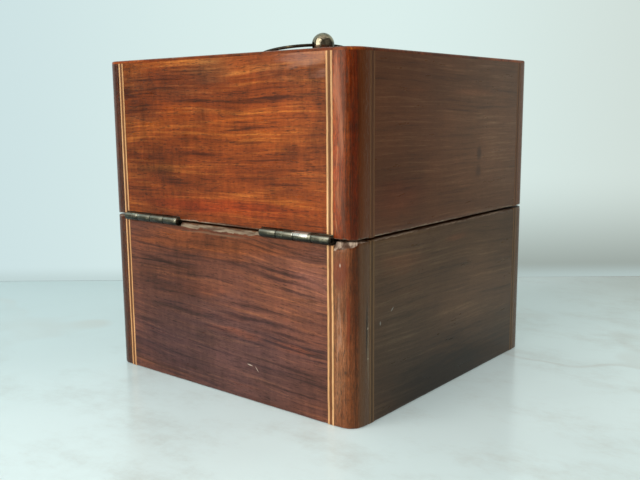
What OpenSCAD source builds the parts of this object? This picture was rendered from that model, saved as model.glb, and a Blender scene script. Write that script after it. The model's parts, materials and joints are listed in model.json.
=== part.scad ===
// Hinged wooden puzzle box: a veneered cube that parts at mid height, with rounded solid
// corner strips, double string inlays, two butt hinges at the back, a ring pull that swings
// in a ball-headed post on the lid, and a hidden turn catch worked from underneath.
// Front is -Y, the hinges are at the back (+Y), and the origin is the centre of the underside.

/* [Box] */
// Outer width, left to right
box_w = 101.6; // [84:0.1:140]
// Outer depth, front to back
box_d = 101.6; // [84:0.1:140]
// Outer height with the lid shut
box_h = 101.6; // [84:0.1:140]
// Height of the lower half, from its underside to its rim
base_h = 51.4; // [40:0.1:62]
// Gap between the two rims when the lid is shut
rim_gap = 0.6; // [0.4:0.05:0.8]

/* [Walls] */
// Thickness of the wall boards under the veneer
carcass_t = 9.1; // [7.5:0.1:12]
// Thickness of the top and bottom boards
board_t = 7; // [5:0.1:10]
// Thickness of the veneer on every face
veneer_t = 0.9; // [0.6:0.05:1.2]
// Width of the solid corner strip on each face
corner_w = 6.95; // [6:0.05:8.35]
// Rounding of the upright corners
corner_r = 5.3; // [3:0.1:5.8]
// Width of each pale line of the string inlay
string_light = 0.65; // [0.5:0.05:0.8]
// Width of the dark line between the two pale lines
string_dark = 0.85; // [0.5:0.05:1]
// Bevel along the outer edges
edge_bevel = 0.3; // [0.15:0.05:0.45]

/* [Lining] */
// Thickness of the lining boards inside the lower half
lining_t = 2.2; // [1.5:0.1:3]
// Height of the lip that the lining raises above the rim
lip_h = 2.5; // [1.5:0.1:4]
// Gap between the lip and the walls of the lid
lip_gap = 0.35; // [0.3:0.05:0.6]

/* [Hinges] */
// Length of each butt hinge
hinge_len = 25.4; // [20:0.1:31]
// Number of knuckles on each hinge
knuckles = 4; // [4:2:6]
// Outer diameter of the knuckles
knuckle_d = 2.6; // [2.4:0.05:3.2]
// Diameter of the hinge pin
pin_d = 1.2; // [1:0.05:1.5]
// Wall left between the end of the leaves and the inside of the box
leaf_stop = 2; // [1:0.1:3]
// How far the hinge axis stands out behind the back face
axis_proud = 0.5; // [0.4:0.05:0.9]
// Gap between neighbouring knuckles
knuckle_gap = 0.2; // [0.1:0.05:0.3]
// Gap between the knuckles and the wood around them
relief_gap = 0.3; // [0.3:0.05:0.5]
// Gap at each end of a hinge in its housing
housing_gap = 0.15; // [0.1:0.05:0.3]
// Radial play of the pin in the lid's knuckles
pin_play = 0.05; // [0.02:0.01:0.09]
// How far each end of a pin is set in from the end of its hinge
pin_set_in = 0.35; // [0.2:0.05:0.6]

/* [Screws] */
// Shank diameter of the countersunk screws
screw_d = 1.6; // [1.2:0.1:1.8]
// Head diameter of the countersunk screws
screw_head_d = 3; // [2.6:0.1:3.4]
// Length of the countersunk screws
screw_len = 7; // [5:0.5:9]
// Distance from the end of a hinge leaf to its outer screws
screw_edge = 4.2; // [2.5:0.1:5]

/* [Ring pull] */
// Diameter of the ball that the ring hangs in
ball_d = 7.6; // [6:0.1:9]
// Height of the ball's centre above the lid
ball_h = 5.6; // [5.5:0.1:8]
// Diameter of the round foot under the ball
foot_d = 10; // [8:0.1:14]
// Thickness of the round foot
foot_t = 0.8; // [0.6:0.1:1.5]
// Diameter of the threaded stem under the foot
stem_d = 3; // [2.5:0.1:4]
// Diameter of the ring, measured at the middle of its wire
ring_d = 32; // [26:0.5:36]
// Diameter of the ring's wire
ring_wire_d = 1.1; // [0.9:0.05:1.4]
// Gap between the wire and its hole through the ball, at the tightest place
eye_gap = 0.25; // [0.2:0.05:0.4]
// How far the hole lies below the ball's centre
eye_drop = 0.3; // [0:0.1:0.6]
// Direction in which the ring lies on the lid, in degrees from +X
ring_turn = -25; // [-90:5:90]
// Height at which the lying ring stays clear of the lid
ring_rest_gap = 0.3; // [0.2:0.05:0.5]

/* [Hidden catch] */
// Diameter of the upright rod in the front wall
rod_d = 4; // [3:0.1:4.6]
// Radial play of the rod in its bush and in the strike plate
rod_play = 0.05; // [0.02:0.01:0.09]
// Wood left beside the turn disc's recess in the underside
disc_wood = 0.35; // [0.3:0.05:0.8]
// Thickness of the turn disc
disc_t = 1.6; // [1.2:0.1:2]
// Wood left beside the recess that the cross bar turns in
recess_wood = 0.65; // [0.4:0.05:0.9]
// Width of the cross bar
tee_w = 2.6; // [2.4:0.1:3]
// Thickness of the cross bar
tee_t = 1.8; // [1.2:0.1:2.4]
// Diameter of the neck that carries the cross bar
neck_d = 2; // [1.6:0.1:2.3]
// Gap around the cross bar in the slot that it passes through
slot_gap = 0.4; // [0.35:0.05:0.5]
// Gap around the cross bar in the recess that it turns in
recess_gap = 0.5; // [0.3:0.05:0.6]
// Length of the strike and keeper plates
plate_len = 24; // [22:0.5:30]
// Width of the strike and keeper plates
plate_w = 6; // [5.8:0.1:7]
// Thickness of the strike and keeper plates
plate_t = 1.2; // [1:0.1:1.6]

/* [Hidden] */

$fn = 64;
tiny = 0.01;
through = 1;            // how far a cutter runs past the face that it opens

walnut = "#5a3423";
rosewood = "#7c4022";
dark_rosewood = "#4a2a1e";
boxwood = "#cfa977";
ebony = "#2a1a12";
steel = "#7d8272";
bronze = "#4c4636";
brass = "#a5894f";

wall_t = carcass_t + veneer_t;
half_w = box_w / 2;
half_d = box_d / 2;
lid_z = base_h + rim_gap;               // rim of the lid
top_veneer_z = box_h - veneer_t;        // underside of the top veneer
lid_top_z = top_veneer_z - board_t;     // underside of the top board
string_w = 2 * string_light + string_dark;
grip = 0.02;                            // radial room around pieces that stay put

// The faces, each as the turn that brings the front face to it.
FRONT = 0;
RIGHT = 90;
BACK = 180;
LEFT = -90;

function face_len(side) = side == FRONT || side == BACK ? box_w : box_d;
function face_reach(side) = side == FRONT || side == BACK ? half_d : half_w;

// Draws on a face: x runs along it, y = 0 is the outside of the veneer and +y goes inwards.
module on_face(side) {
    rotate(side) translate([0, -face_reach(side), 0]) children();
}

// A strip of the outer skin from x0 to x1 and z0 to z1, bevelled at its foot and head.
module skin_strip(x0, x1, z0, z1, foot_bevel, head_bevel) {
    translate([x0, 0, 0]) rotate([90, 0, 90]) linear_extrude(x1 - x0) polygon([
        [veneer_t, z0], [foot_bevel, z0], [0, z0 + foot_bevel],
        [0, z1 - head_bevel], [head_bevel, z1], [veneer_t, z1]
    ]);
}

// ---- hinge places -------------------------------------------------------------------

axis_y = half_d + axis_proud;
axis_z = base_h + rim_gap / 2;
left_hinge_x = -(half_w - corner_w - housing_gap - hinge_len / 2);
right_hinge_x = half_w - corner_w - string_light - string_dark - housing_gap - hinge_len / 2;
knuckle_r = knuckle_d / 2;
knuckle_pitch = hinge_len / knuckles;
leaf_t = knuckle_r - rim_gap / 2;       // a leaf lies flush in its rim
leaf_reach = axis_proud + wall_t - leaf_stop;
hinge_screw_pitch = hinge_len / 2 - screw_edge;
leaf_edge = knuckle_r + relief_gap;     // where a leaf's plate stops short of the axis
leaf_screw_y = axis_y - (leaf_reach + leaf_edge) / 2;

module at_hinges() {
    for (x = [left_hinge_x, right_hinge_x]) translate([x, 0, 0]) children();
}

module along_hinge(r, len) {
    translate([-len / 2, axis_y, axis_z]) rotate([0, 90, 0]) cylinder(r = r, h = len);
}

module at_hinge_screws() {
    for (i = [-1, 0, 1]) translate([i * hinge_screw_pitch, leaf_screw_y, 0]) children();
}

// What a hinge takes out of the wood. up = 1 is the lid's side, up = -1 the base's.
module hinge_housing(up) {
    len = hinge_len + 2 * housing_gap;
    at_hinges() {
        along_hinge(knuckle_r + relief_gap, len);
        translate([-len / 2, axis_y - leaf_reach - housing_gap, axis_z])
            mirror([0, 0, up > 0 ? 0 : 1])
            cube([len, leaf_reach + housing_gap + through, knuckle_r]);
        at_hinge_screws() translate([0, 0, axis_z]) mirror([0, 0, up > 0 ? 1 : 0])
            cylinder(d = screw_d + 2 * grip, h = 2 * (screw_len + knuckle_r), center = true);
    }
}

// ---- hidden catch places ------------------------------------------------------------

catch_y = -(half_d - veneer_t - carcass_t / 2);
rod_r = rod_d / 2;
disc_gap = 0.4;
disc_d = carcass_t - 2 * (disc_gap + disc_wood);
tee_len = carcass_t - 2 * (recess_gap + recess_wood);
disc_lift = 0.3;                        // the disc lies this far above the underside
disc_top = disc_lift + disc_t;
rod_hole_d = rod_d + 1;                 // clear hole through the wood
bush_z = disc_top + 0.3;
bush_t = 3;
bush_d = rod_d + 2.6;
strike_z = base_h - plate_t;
keeper_top = lid_z + plate_t;
tee_z = keeper_top + 0.3;               // the bar turns just clear of the keeper plate
tee_room = tee_z + tee_t + 0.6;         // roof of the recess that the bar turns in
plate_corner_r = 0.8;
plate_screw_x = plate_len / 2 - 3.4;

// The cross bar seen from above: a flat bar with ends rounded about the rod's axis.
module tee_outline(grow) {
    intersection() {
        circle(d = tee_len + 2 * grow);
        square([tee_len + 3 * grow, tee_w + 2 * grow], center = true);
    }
}

module plate_outline() {
    r = plate_corner_r;
    square([plate_len, plate_w - 2 * r], center = true);
    square([plate_len - 2 * r, plate_w], center = true);
    for (sx = [-1, 1], sy = [-1, 1])
        translate([sx * (plate_len / 2 - r), sy * (plate_w / 2 - r)]) circle(r = r, $fn = 24);
}

// ---- screws ---------------------------------------------------------------------------

head_h = (screw_head_d - screw_d) / 2;

// A countersunk slotted screw, its flat head facing up at z = 0.
module wood_screw() {
    tip = screw_d;
    tip_d = 0.3;
    slot_w = 0.4;
    slot_depth = 0.35;
    difference() {
        union() {
            translate([0, 0, -head_h]) cylinder(d1 = screw_d, d2 = screw_head_d, h = head_h);
            translate([0, 0, tip - screw_len])
                cylinder(d = screw_d, h = screw_len - tip - head_h + tiny);
            translate([0, 0, -screw_len]) cylinder(d1 = tip_d, d2 = screw_d, h = tip);
        }
        cube([screw_head_d + through, slot_w, 2 * slot_depth], center = true);
    }
}

module screw_seat() {
    translate([0, 0, -head_h - grip])
        cylinder(d1 = screw_d, d2 = screw_head_d + 2 * grip, h = head_h + grip + tiny);
    translate([0, 0, -screw_len]) cylinder(d = screw_d + 2 * grip, h = screw_len);
}

// The hole for the ball post's stem through a sheet of thickness t.
module stem_hole(z, t) {
    stem_play = 0.1;
    translate([0, 0, z - through]) cylinder(r = stem_d / 2 + stem_play, h = t + 2 * through);
}

// ---- wall boards ------------------------------------------------------------------------

// Front and back boards run between the corner strips.
module long_board(side, z0, z1) {
    len = face_len(side) - 2 * corner_w;
    on_face(side) translate([-len / 2, veneer_t, z0]) cube([len, carcass_t, z1 - z0]);
}

// Side boards are lapped at their ends behind the front and back boards.
module side_board(side, z0, z1) {
    outer_len = face_len(side) - 2 * corner_w;
    inner_len = face_len(side) - 2 * wall_t;
    on_face(side) {
        translate([-outer_len / 2, veneer_t, z0]) cube([outer_len, corner_w - veneer_t, z1 - z0]);
        translate([-inner_len / 2, veneer_t, z0]) cube([inner_len, carcass_t, z1 - z0]);
    }
}

// A board across the whole box, notched for the four corner strips.
module cross_board(z0, z1) {
    w = box_w - 2 * veneer_t;
    d = box_d - 2 * veneer_t;
    translate([0, 0, z0]) linear_extrude(z1 - z0) {
        square([w, box_d - 2 * corner_w], center = true);
        square([box_w - 2 * corner_w, d], center = true);
    }
}

module base_front() {
    color(walnut) difference() {
        long_board(FRONT, board_t, base_h);
        translate([0, catch_y, 0]) {
            cylinder(d = rod_hole_d, h = base_h);
            translate([0, 0, strike_z]) linear_extrude(plate_t + through) plate_outline();
            for (s = [-1, 1]) translate([s * plate_screw_x, 0, strike_z + plate_t]) screw_seat();
        }
    }
}

module base_back() {
    color(walnut) difference() {
        long_board(BACK, board_t, base_h);
        hinge_housing(-1);
    }
}

module base_left() {
    color(walnut) side_board(LEFT, board_t, base_h);
}

module base_right() {
    color(walnut) side_board(RIGHT, board_t, base_h);
}

module base_bottom() {
    color(walnut) difference() {
        cross_board(0, board_t);
        translate([0, catch_y, 0]) {
            translate([0, 0, -through]) cylinder(d = disc_d + 2 * disc_gap, h = bush_z + through);
            cylinder(d = bush_d + 2 * grip, h = bush_z + bush_t);
            cylinder(d = rod_hole_d, h = board_t + through);
        }
    }
}

module lid_front() {
    color(walnut) difference() {
        long_board(FRONT, lid_z, lid_top_z);
        translate([0, catch_y, 0]) {
            translate([0, 0, lid_z - through]) linear_extrude(plate_t + through) plate_outline();
            translate([0, 0, lid_z]) cylinder(d = tee_len + 2 * recess_gap, h = tee_room - lid_z);
            for (s = [-1, 1]) translate([s * plate_screw_x, 0, lid_z]) mirror([0, 0, 1]) screw_seat();
        }
    }
}

module lid_back() {
    color(walnut) difference() {
        long_board(BACK, lid_z, lid_top_z);
        hinge_housing(1);
    }
}

module lid_left() {
    color(walnut) side_board(LEFT, lid_z, lid_top_z);
}

module lid_right() {
    color(walnut) side_board(RIGHT, lid_z, lid_top_z);
}

module lid_top() {
    color(walnut) difference() {
        cross_board(lid_top_z, top_veneer_z);
        stem_hole(lid_top_z, board_t);
    }
}

// ---- veneer -----------------------------------------------------------------------------

module face_veneer(side, z0, z1, foot_bevel, head_bevel) {
    half = face_len(side) / 2 - corner_w - string_w;
    on_face(side) skin_strip(-half, half, z0, z1, foot_bevel, head_bevel);
}

module base_veneer(side) {
    face_veneer(side, 0, base_h, edge_bevel, edge_bevel);
}

module lid_veneer(side) {
    face_veneer(side, lid_z, top_veneer_z, edge_bevel, 0);
}

module base_front_veneer() {
    color(dark_rosewood) base_veneer(FRONT);
}

module base_back_veneer() {
    color(dark_rosewood) difference() {
        base_veneer(BACK);
        hinge_housing(-1);
    }
}

module base_left_veneer() {
    color(dark_rosewood) base_veneer(LEFT);
}

module base_right_veneer() {
    color(dark_rosewood) base_veneer(RIGHT);
}

module lid_front_veneer() {
    color(rosewood) lid_veneer(FRONT);
}

module lid_back_veneer() {
    color(rosewood) difference() {
        lid_veneer(BACK);
        hinge_housing(1);
    }
}

module lid_left_veneer() {
    color(rosewood) lid_veneer(LEFT);
}

module lid_right_veneer() {
    color(rosewood) lid_veneer(RIGHT);
}

// A quarter of the top veneer's slab: a straight-sided sheet with one round corner,
// bevelled along its upper outer edge.
module quarter_sheet() {
    r = corner_r;
    b = edge_bevel;
    cx = half_w - r;
    cy = half_d - r;
    profile = [[0, 0], [r, 0], [r, veneer_t - b], [r - b, veneer_t], [0, veneer_t]];
    translate([cx, cy, 0]) rotate_extrude(angle = 90) polygon(profile);
    translate([cx, cy, 0]) rotate([90, 0, 0]) linear_extrude(cy) polygon(profile);
    translate([cx, cy, 0]) rotate([90, 0, 90]) mirror([0, 0, 1]) linear_extrude(cx) polygon(profile);
    cube([cx, cy, veneer_t]);
}

module lid_top_veneer() {
    color(rosewood) difference() {
        translate([0, 0, top_veneer_z]) {
            for (sx = [0, 1], sy = [0, 1]) mirror([sx, 0, 0]) mirror([0, sy, 0]) quarter_sheet();
        }
        stem_hole(top_veneer_z, veneer_t);
    }
}

// ---- corner strips ------------------------------------------------------------------------

// The back right strip; the others are its mirror images.
module corner_strip(z0, z1, foot_bevel, head_bevel) {
    r = corner_r;
    w = corner_w;
    f = foot_bevel;
    h = head_bevel;
    cx = half_w - r;
    cy = half_d - r;
    round_profile = [[0, z0], [r - f, z0], [r, z0 + f], [r, z1 - h], [r - h, z1], [0, z1]];
    side_profile = [[r - w, z0], [r - f, z0], [r, z0 + f], [r, z1 - h], [r - h, z1], [r - w, z1]];
    translate([cx, cy, 0]) {
        rotate_extrude(angle = 90) polygon(round_profile);
        rotate([90, 0, 0]) linear_extrude(w - r) polygon(side_profile);
        rotate([90, 0, 90]) mirror([0, 0, 1]) linear_extrude(w - r) polygon(side_profile);
    }
}

module base_corner(left, front) {
    color(rosewood) mirror([left, 0, 0]) mirror([0, front, 0])
        corner_strip(0, base_h, edge_bevel, edge_bevel);
}

module lid_corner(left, front) {
    color(rosewood) mirror([left, 0, 0]) mirror([0, front, 0])
        corner_strip(lid_z, top_veneer_z, edge_bevel, 0);
}

// ---- string inlays ------------------------------------------------------------------------

module face_strings(x0, x1, z0, z1, foot_bevel, head_bevel) {
    for (side = [FRONT, RIGHT, BACK, LEFT]) {
        half = face_len(side) / 2 - corner_w;
        on_face(side) for (s = [0, 1]) mirror([s, 0, 0])
            skin_strip(half - x1, half - x0, z0, z1, foot_bevel, head_bevel);
    }
}

module light_strings(z0, z1, foot_bevel, head_bevel) {
    face_strings(0, string_light, z0, z1, foot_bevel, head_bevel);
    face_strings(string_w - string_light, string_w, z0, z1, foot_bevel, head_bevel);
}

module base_light_strings() {
    color(boxwood) difference() {
        light_strings(0, base_h, edge_bevel, edge_bevel);
        hinge_housing(-1);
    }
}

module base_dark_strings() {
    color(ebony) difference() {
        face_strings(string_light, string_light + string_dark, 0, base_h, edge_bevel, edge_bevel);
        hinge_housing(-1);
    }
}

module lid_light_strings() {
    color(boxwood) difference() {
        light_strings(lid_z, top_veneer_z, edge_bevel, 0);
        hinge_housing(1);
    }
}

module lid_dark_strings() {
    color(ebony) difference() {
        face_strings(string_light, string_light + string_dark, lid_z, top_veneer_z, edge_bevel, 0);
        hinge_housing(1);
    }
}

// ---- lining ---------------------------------------------------------------------------------

// A mitred lining board with a thinner lip that stands above the rim.
module lining_board(side) {
    half = face_len(side) / 2 - wall_t;
    lip_bevel = 0.4;
    on_face(side) translate([0, wall_t, 0]) intersection() {
        translate([-half, 0, 0]) rotate([90, 0, 90]) linear_extrude(2 * half) polygon([
            [0, board_t], [0, base_h], [lip_gap, base_h], [lip_gap, base_h + lip_h - lip_bevel],
            [lip_gap + lip_bevel, base_h + lip_h], [lining_t - lip_bevel, base_h + lip_h],
            [lining_t, base_h + lip_h - lip_bevel], [lining_t, board_t]
        ]);
        linear_extrude(box_h) polygon([
            [-half, 0], [half, 0], [half - lining_t, lining_t], [lining_t - half, lining_t]
        ]);
    }
}

module front_lining() {
    color(boxwood) lining_board(FRONT);
}

module back_lining() {
    color(boxwood) lining_board(BACK);
}

module left_lining() {
    color(boxwood) lining_board(LEFT);
}

module right_lining() {
    color(boxwood) lining_board(RIGHT);
}

// ---- hinges ---------------------------------------------------------------------------------

// up = 1 is the lid's leaf, up = -1 the base's. The base's leaf has the first knuckle.
module hinge_leaf(up) {
    first = up > 0 ? 1 : 0;
    bore = pin_d / 2 + (up > 0 ? pin_play : grip);
    plate_z = up > 0 ? axis_z + knuckle_r - leaf_t : axis_z - knuckle_r;
    difference() {
        union() {
            translate([-hinge_len / 2, axis_y - leaf_reach, plate_z])
                cube([hinge_len, leaf_reach - leaf_edge, leaf_t]);
            for (i = [first : 2 : knuckles - 1]) {
                x0 = -hinge_len / 2 + i * knuckle_pitch + knuckle_gap / 2;
                len = knuckle_pitch - knuckle_gap;
                translate([x0, axis_y - leaf_edge - tiny, plate_z]) cube([len, leaf_edge + tiny, leaf_t]);
                translate([x0, axis_y, axis_z]) rotate([0, 90, 0]) cylinder(r = knuckle_r, h = len);
            }
        }
        along_hinge(bore, hinge_len + through);
        at_hinge_screws() translate([0, 0, up > 0 ? plate_z : plate_z + leaf_t])
            mirror([0, 0, up > 0 ? 1 : 0]) screw_seat();
    }
}

module hinge_pin() {
    along_hinge(pin_d / 2, hinge_len - 2 * pin_set_in);
}

module left_hinge_base_leaf() {
    color(steel) translate([left_hinge_x, 0, 0]) hinge_leaf(-1);
}

module left_hinge_lid_leaf() {
    color(steel) translate([left_hinge_x, 0, 0]) hinge_leaf(1);
}

module left_hinge_pin() {
    color(steel) translate([left_hinge_x, 0, 0]) hinge_pin();
}

module right_hinge_base_leaf() {
    color(steel) translate([right_hinge_x, 0, 0]) hinge_leaf(-1);
}

module right_hinge_lid_leaf() {
    color(steel) translate([right_hinge_x, 0, 0]) hinge_leaf(1);
}

module right_hinge_pin() {
    color(steel) translate([right_hinge_x, 0, 0]) hinge_pin();
}

module base_hinge_screws() {
    color(brass) at_hinges() at_hinge_screws()
        translate([0, 0, axis_z - knuckle_r + leaf_t]) wood_screw();
}

module lid_hinge_screws() {
    color(brass) at_hinges() at_hinge_screws()
        translate([0, 0, axis_z + knuckle_r - leaf_t]) mirror([0, 0, 1]) wood_screw();
}

// ---- ring pull ------------------------------------------------------------------------------

ball_r = ball_d / 2;
ring_r = ring_d / 2;
wire_r = ring_wire_d / 2;
eye_z = box_h + ball_h - eye_drop;
eye_sag = ball_r * ball_r / ring_d / 2;      // half the bow of the wire inside the ball
eye_r = wire_r + eye_sag + eye_gap;
ring_throw = 2 * ring_r - eye_sag;           // from the eye's axis to the ring's far side
ring_tilt = asin((ball_h - eye_drop - wire_r - ring_rest_gap) / ring_throw);
washer_t = 0.6;
nut_t = 2.2;
nut_af = 5.5;
washer_d = 8;
stem_end = 0.6;                              // thread left showing below the nut
neck_r = 1.7;
neck_flare = 1;

module ball_post() {
    stem_len = veneer_t + board_t + washer_t + nut_t + stem_end;
    color(bronze) difference() {
        union() {
            translate([0, 0, box_h + ball_h]) sphere(d = ball_d);
            translate([0, 0, box_h]) cylinder(d = foot_d, h = foot_t);
            translate([0, 0, box_h + foot_t - tiny])
                cylinder(r1 = neck_r + neck_flare, r2 = neck_r, h = neck_flare);
            translate([0, 0, box_h + foot_t]) cylinder(r = neck_r, h = ball_h - foot_t - ball_r / 2);
            translate([0, 0, box_h - stem_len]) cylinder(d = stem_d, h = stem_len + tiny);
        }
        translate([0, 0, eye_z]) rotate(ring_turn) rotate([90, 0, 0])
            cylinder(r = eye_r, h = ball_d + through, center = true);
    }
}

module post_washer() {
    color(brass) translate([0, 0, lid_top_z - washer_t]) difference() {
        cylinder(d = washer_d, h = washer_t);
        translate([0, 0, -through]) cylinder(d = stem_d + 2 * grip, h = washer_t + 2 * through);
    }
}

// A hexagon nut whose lower face is chamfered.
module post_nut() {
    face_d = 0.95 * nut_af;
    color(brass) translate([0, 0, lid_top_z - washer_t - nut_t]) difference() {
        intersection() {
            cylinder(d = nut_af / cos(30), h = nut_t, $fn = 6);
            cylinder(d1 = face_d, d2 = face_d + 4 * nut_t, h = nut_t);
        }
        translate([0, 0, -through]) cylinder(d = stem_d + 2 * grip, h = nut_t + 2 * through);
    }
}

module pull_ring() {
    color(bronze) translate([0, 0, eye_z]) rotate(ring_turn) rotate([0, ring_tilt, 0])
        translate([ring_r - eye_sag, 0, 0]) rotate_extrude($fn = 96) translate([ring_r, 0])
        circle(r = wire_r, $fn = 24);
}

// ---- hidden catch ---------------------------------------------------------------------------

module catch_rod() {
    rod_top = base_h - 0.2;
    coin_slot = [disc_d - 1.6, 1.2, 1.6];
    color(brass) translate([0, catch_y, 0]) difference() {
        union() {
            translate([0, 0, disc_lift]) cylinder(d = disc_d, h = disc_t);
            translate([0, 0, disc_lift]) cylinder(r = rod_r, h = rod_top - disc_lift);
            translate([0, 0, disc_lift]) cylinder(d = neck_d, h = tee_z + tee_t - disc_lift);
        }
        translate([0, 0, disc_lift]) cube(coin_slot, center = true);
    }
}

module catch_tee() {
    color(brass) translate([0, catch_y, tee_z]) difference() {
        linear_extrude(tee_t) tee_outline(0);
        translate([0, 0, -through]) cylinder(d = neck_d + 2 * grip, h = tee_t + 2 * through);
    }
}

module catch_bush() {
    color(brass) translate([0, catch_y, bush_z]) difference() {
        cylinder(d = bush_d, h = bush_t);
        translate([0, 0, -through]) cylinder(r = rod_r + rod_play, h = bush_t + 2 * through);
    }
}

module strike_plate() {
    color(brass) translate([0, catch_y, strike_z]) difference() {
        linear_extrude(plate_t) plate_outline();
        translate([0, 0, -through]) cylinder(r = rod_r + rod_play, h = plate_t + 2 * through);
        for (s = [-1, 1]) translate([s * plate_screw_x, 0, plate_t]) screw_seat();
    }
}

module keeper_plate() {
    color(brass) translate([0, catch_y, lid_z]) difference() {
        linear_extrude(plate_t) plate_outline();
        translate([0, 0, -through]) linear_extrude(plate_t + 2 * through) tee_outline(slot_gap);
        for (s = [-1, 1]) translate([s * plate_screw_x, 0, 0]) mirror([0, 0, 1]) screw_seat();
    }
}

module strike_screws() {
    color(brass) for (s = [-1, 1]) translate([s * plate_screw_x, catch_y, base_h]) wood_screw();
}

module keeper_screws() {
    color(brass) for (s = [-1, 1]) translate([s * plate_screw_x, catch_y, lid_z])
        mirror([0, 0, 1]) wood_screw();
}

// ---- the nodes ------------------------------------------------------------------------------

base_front();
base_back();
base_left();
base_right();
base_bottom();
base_front_veneer();
base_back_veneer();
base_left_veneer();
base_right_veneer();
base_corner(1, 1);  // base_front_left_corner
base_corner(0, 1);  // base_front_right_corner
base_corner(1, 0);  // base_back_left_corner
base_corner(0, 0);  // base_back_right_corner
base_light_strings();
base_dark_strings();
front_lining();
back_lining();
left_lining();
right_lining();
lid_front();
lid_back();
lid_left();
lid_right();
lid_top();
lid_top_veneer();
lid_front_veneer();
lid_back_veneer();
lid_left_veneer();
lid_right_veneer();
lid_corner(1, 1);  // lid_front_left_corner
lid_corner(0, 1);  // lid_front_right_corner
lid_corner(1, 0);  // lid_back_left_corner
lid_corner(0, 0);  // lid_back_right_corner
lid_light_strings();
lid_dark_strings();
left_hinge_base_leaf();
left_hinge_lid_leaf();
left_hinge_pin();
right_hinge_base_leaf();
right_hinge_lid_leaf();
right_hinge_pin();
base_hinge_screws();
lid_hinge_screws();
ball_post();
post_washer();
post_nut();
pull_ring();
catch_rod();
catch_tee();
catch_bush();
strike_plate();
keeper_plate();
strike_screws();
keeper_screws();
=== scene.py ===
# %% [markdown]
# # Wooden puzzle box
# A four-inch cube of walnut boards, skinned with rosewood veneer, parts at mid height into a
# lower half and a lid. Solid rounded strips make its upright corners, and beside each one two
# pale lines of boxwood with a dark core are let into the veneer.
# The imported model is the fixed frame of this lesson. It says where every piece is and which
# body carries it, so nothing here has to be fitted by eye. The pieces that show their
# surface most are modelled again with worn edges, chips and rounded metal, and the boards
# underneath keep the frame's shape and only get a finish. The visible pieces have to stay
# inside it.

# %% The frame
import json
import math

import bmesh
import bpy
from mathutils import Matrix, Vector


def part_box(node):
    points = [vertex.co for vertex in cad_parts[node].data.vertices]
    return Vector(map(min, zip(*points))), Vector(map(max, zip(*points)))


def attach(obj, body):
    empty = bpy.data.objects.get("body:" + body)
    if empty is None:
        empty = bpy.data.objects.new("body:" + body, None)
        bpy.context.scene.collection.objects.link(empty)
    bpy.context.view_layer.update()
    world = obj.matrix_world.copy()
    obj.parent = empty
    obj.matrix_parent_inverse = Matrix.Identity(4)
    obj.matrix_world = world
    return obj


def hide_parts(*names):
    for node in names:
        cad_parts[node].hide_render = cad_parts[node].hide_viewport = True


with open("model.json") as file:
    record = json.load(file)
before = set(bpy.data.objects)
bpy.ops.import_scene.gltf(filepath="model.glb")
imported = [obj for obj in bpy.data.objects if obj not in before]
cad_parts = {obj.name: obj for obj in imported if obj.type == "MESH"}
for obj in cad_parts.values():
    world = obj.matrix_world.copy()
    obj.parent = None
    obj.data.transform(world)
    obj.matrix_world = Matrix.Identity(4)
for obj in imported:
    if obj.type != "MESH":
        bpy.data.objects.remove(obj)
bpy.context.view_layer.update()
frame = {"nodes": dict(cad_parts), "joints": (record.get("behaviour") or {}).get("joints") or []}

# %% [markdown]
# ## Sizes
# Lengths are in metres, so a millimetre has a name of its own. Sizes that the frame can tell
# are read from its nodes, and the few that it can't, such as the rounding of a corner, are
# named once here. Both halves are made by the same steps, so each has its foot, its head and
# a note of whether its head is a rim that takes knocks.

# %% Sizes
MM = 0.001
lid_low, lid_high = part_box("lid_top_veneer")
base_low, base_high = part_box("base_back_left_corner")
HALF = lid_high.x
TOP = lid_high.z
RIM = base_high.z
LID_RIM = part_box("lid_back_left_corner")[0].z
SHEET_FOOT = lid_low.z
HALVES = {"base": (0.0, RIM, True), "lid": (LID_RIM, SHEET_FOOT, False)}
CORNER_W = base_high.x - base_low.x
CORNER_R = 5.3 * MM
VENEER = lid_high.z - lid_low.z
BEVEL = 0.3 * MM
TOP_BEVEL = 0.6 * MM
LINE_PALE = 0.65 * MM
LINE_DARK = 0.85 * MM
LINES_W = 2 * LINE_PALE + LINE_DARK
POLISH_SINK = 0.02 * MM
TOUCH = 0.01 * MM
print(f"box {2 * HALF / MM:.1f} wide, rim {RIM / MM:.1f}, lid rim {LID_RIM / MM:.1f}, top {TOP / MM:.1f} mm")

# %% [markdown]
# ## Working as by hand
# Every new piece starts as a primitive of its own size and is shaped in edit mode. These
# helpers do what the mouse does: clear the selection, enter edit mode, pick points, edges or
# faces by where they are, and turn or move a whole mesh while its object stays at the origin,
# like the frame's own nodes. With no window the turning operator goes clockwise, so the sign
# of an angle is changed in one place.

# %% Hands
def clear_selection():
    if bpy.context.mode != "OBJECT":
        bpy.ops.object.mode_set(mode="OBJECT")
    bpy.ops.object.select_all(action="DESELECT")


def take(piece):
    clear_selection()
    piece.select_set(True)
    bpy.context.view_layer.objects.active = piece


def named(piece, name):
    piece.name = name
    piece.data.name = name
    return piece


def open_mesh(piece, whole=False):
    take(piece)
    bpy.ops.object.mode_set(mode="EDIT")
    bpy.ops.mesh.select_mode(type="VERT")
    bpy.ops.mesh.select_all(action="SELECT" if whole else "DESELECT")


def close_mesh():
    bpy.ops.object.mode_set(mode="OBJECT")


def pick(piece, kind, wanted):
    bpy.ops.mesh.select_mode(type={"verts": "VERT", "edges": "EDGE"}[kind])
    bpy.ops.mesh.select_all(action="DESELECT")
    mesh = bmesh.from_edit_mesh(piece.data)
    for item in getattr(mesh, kind):
        if wanted(item):
            item.select_set(True)
    mesh.select_flush_mode()
    bmesh.update_edit_mesh(piece.data)


def middle(edge):
    return (edge.verts[0].co + edge.verts[1].co) / 2


def runs_along(edge, axis):
    step = (edge.verts[1].co - edge.verts[0].co).normalized()
    return abs(step[axis]) > 0.99


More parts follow.
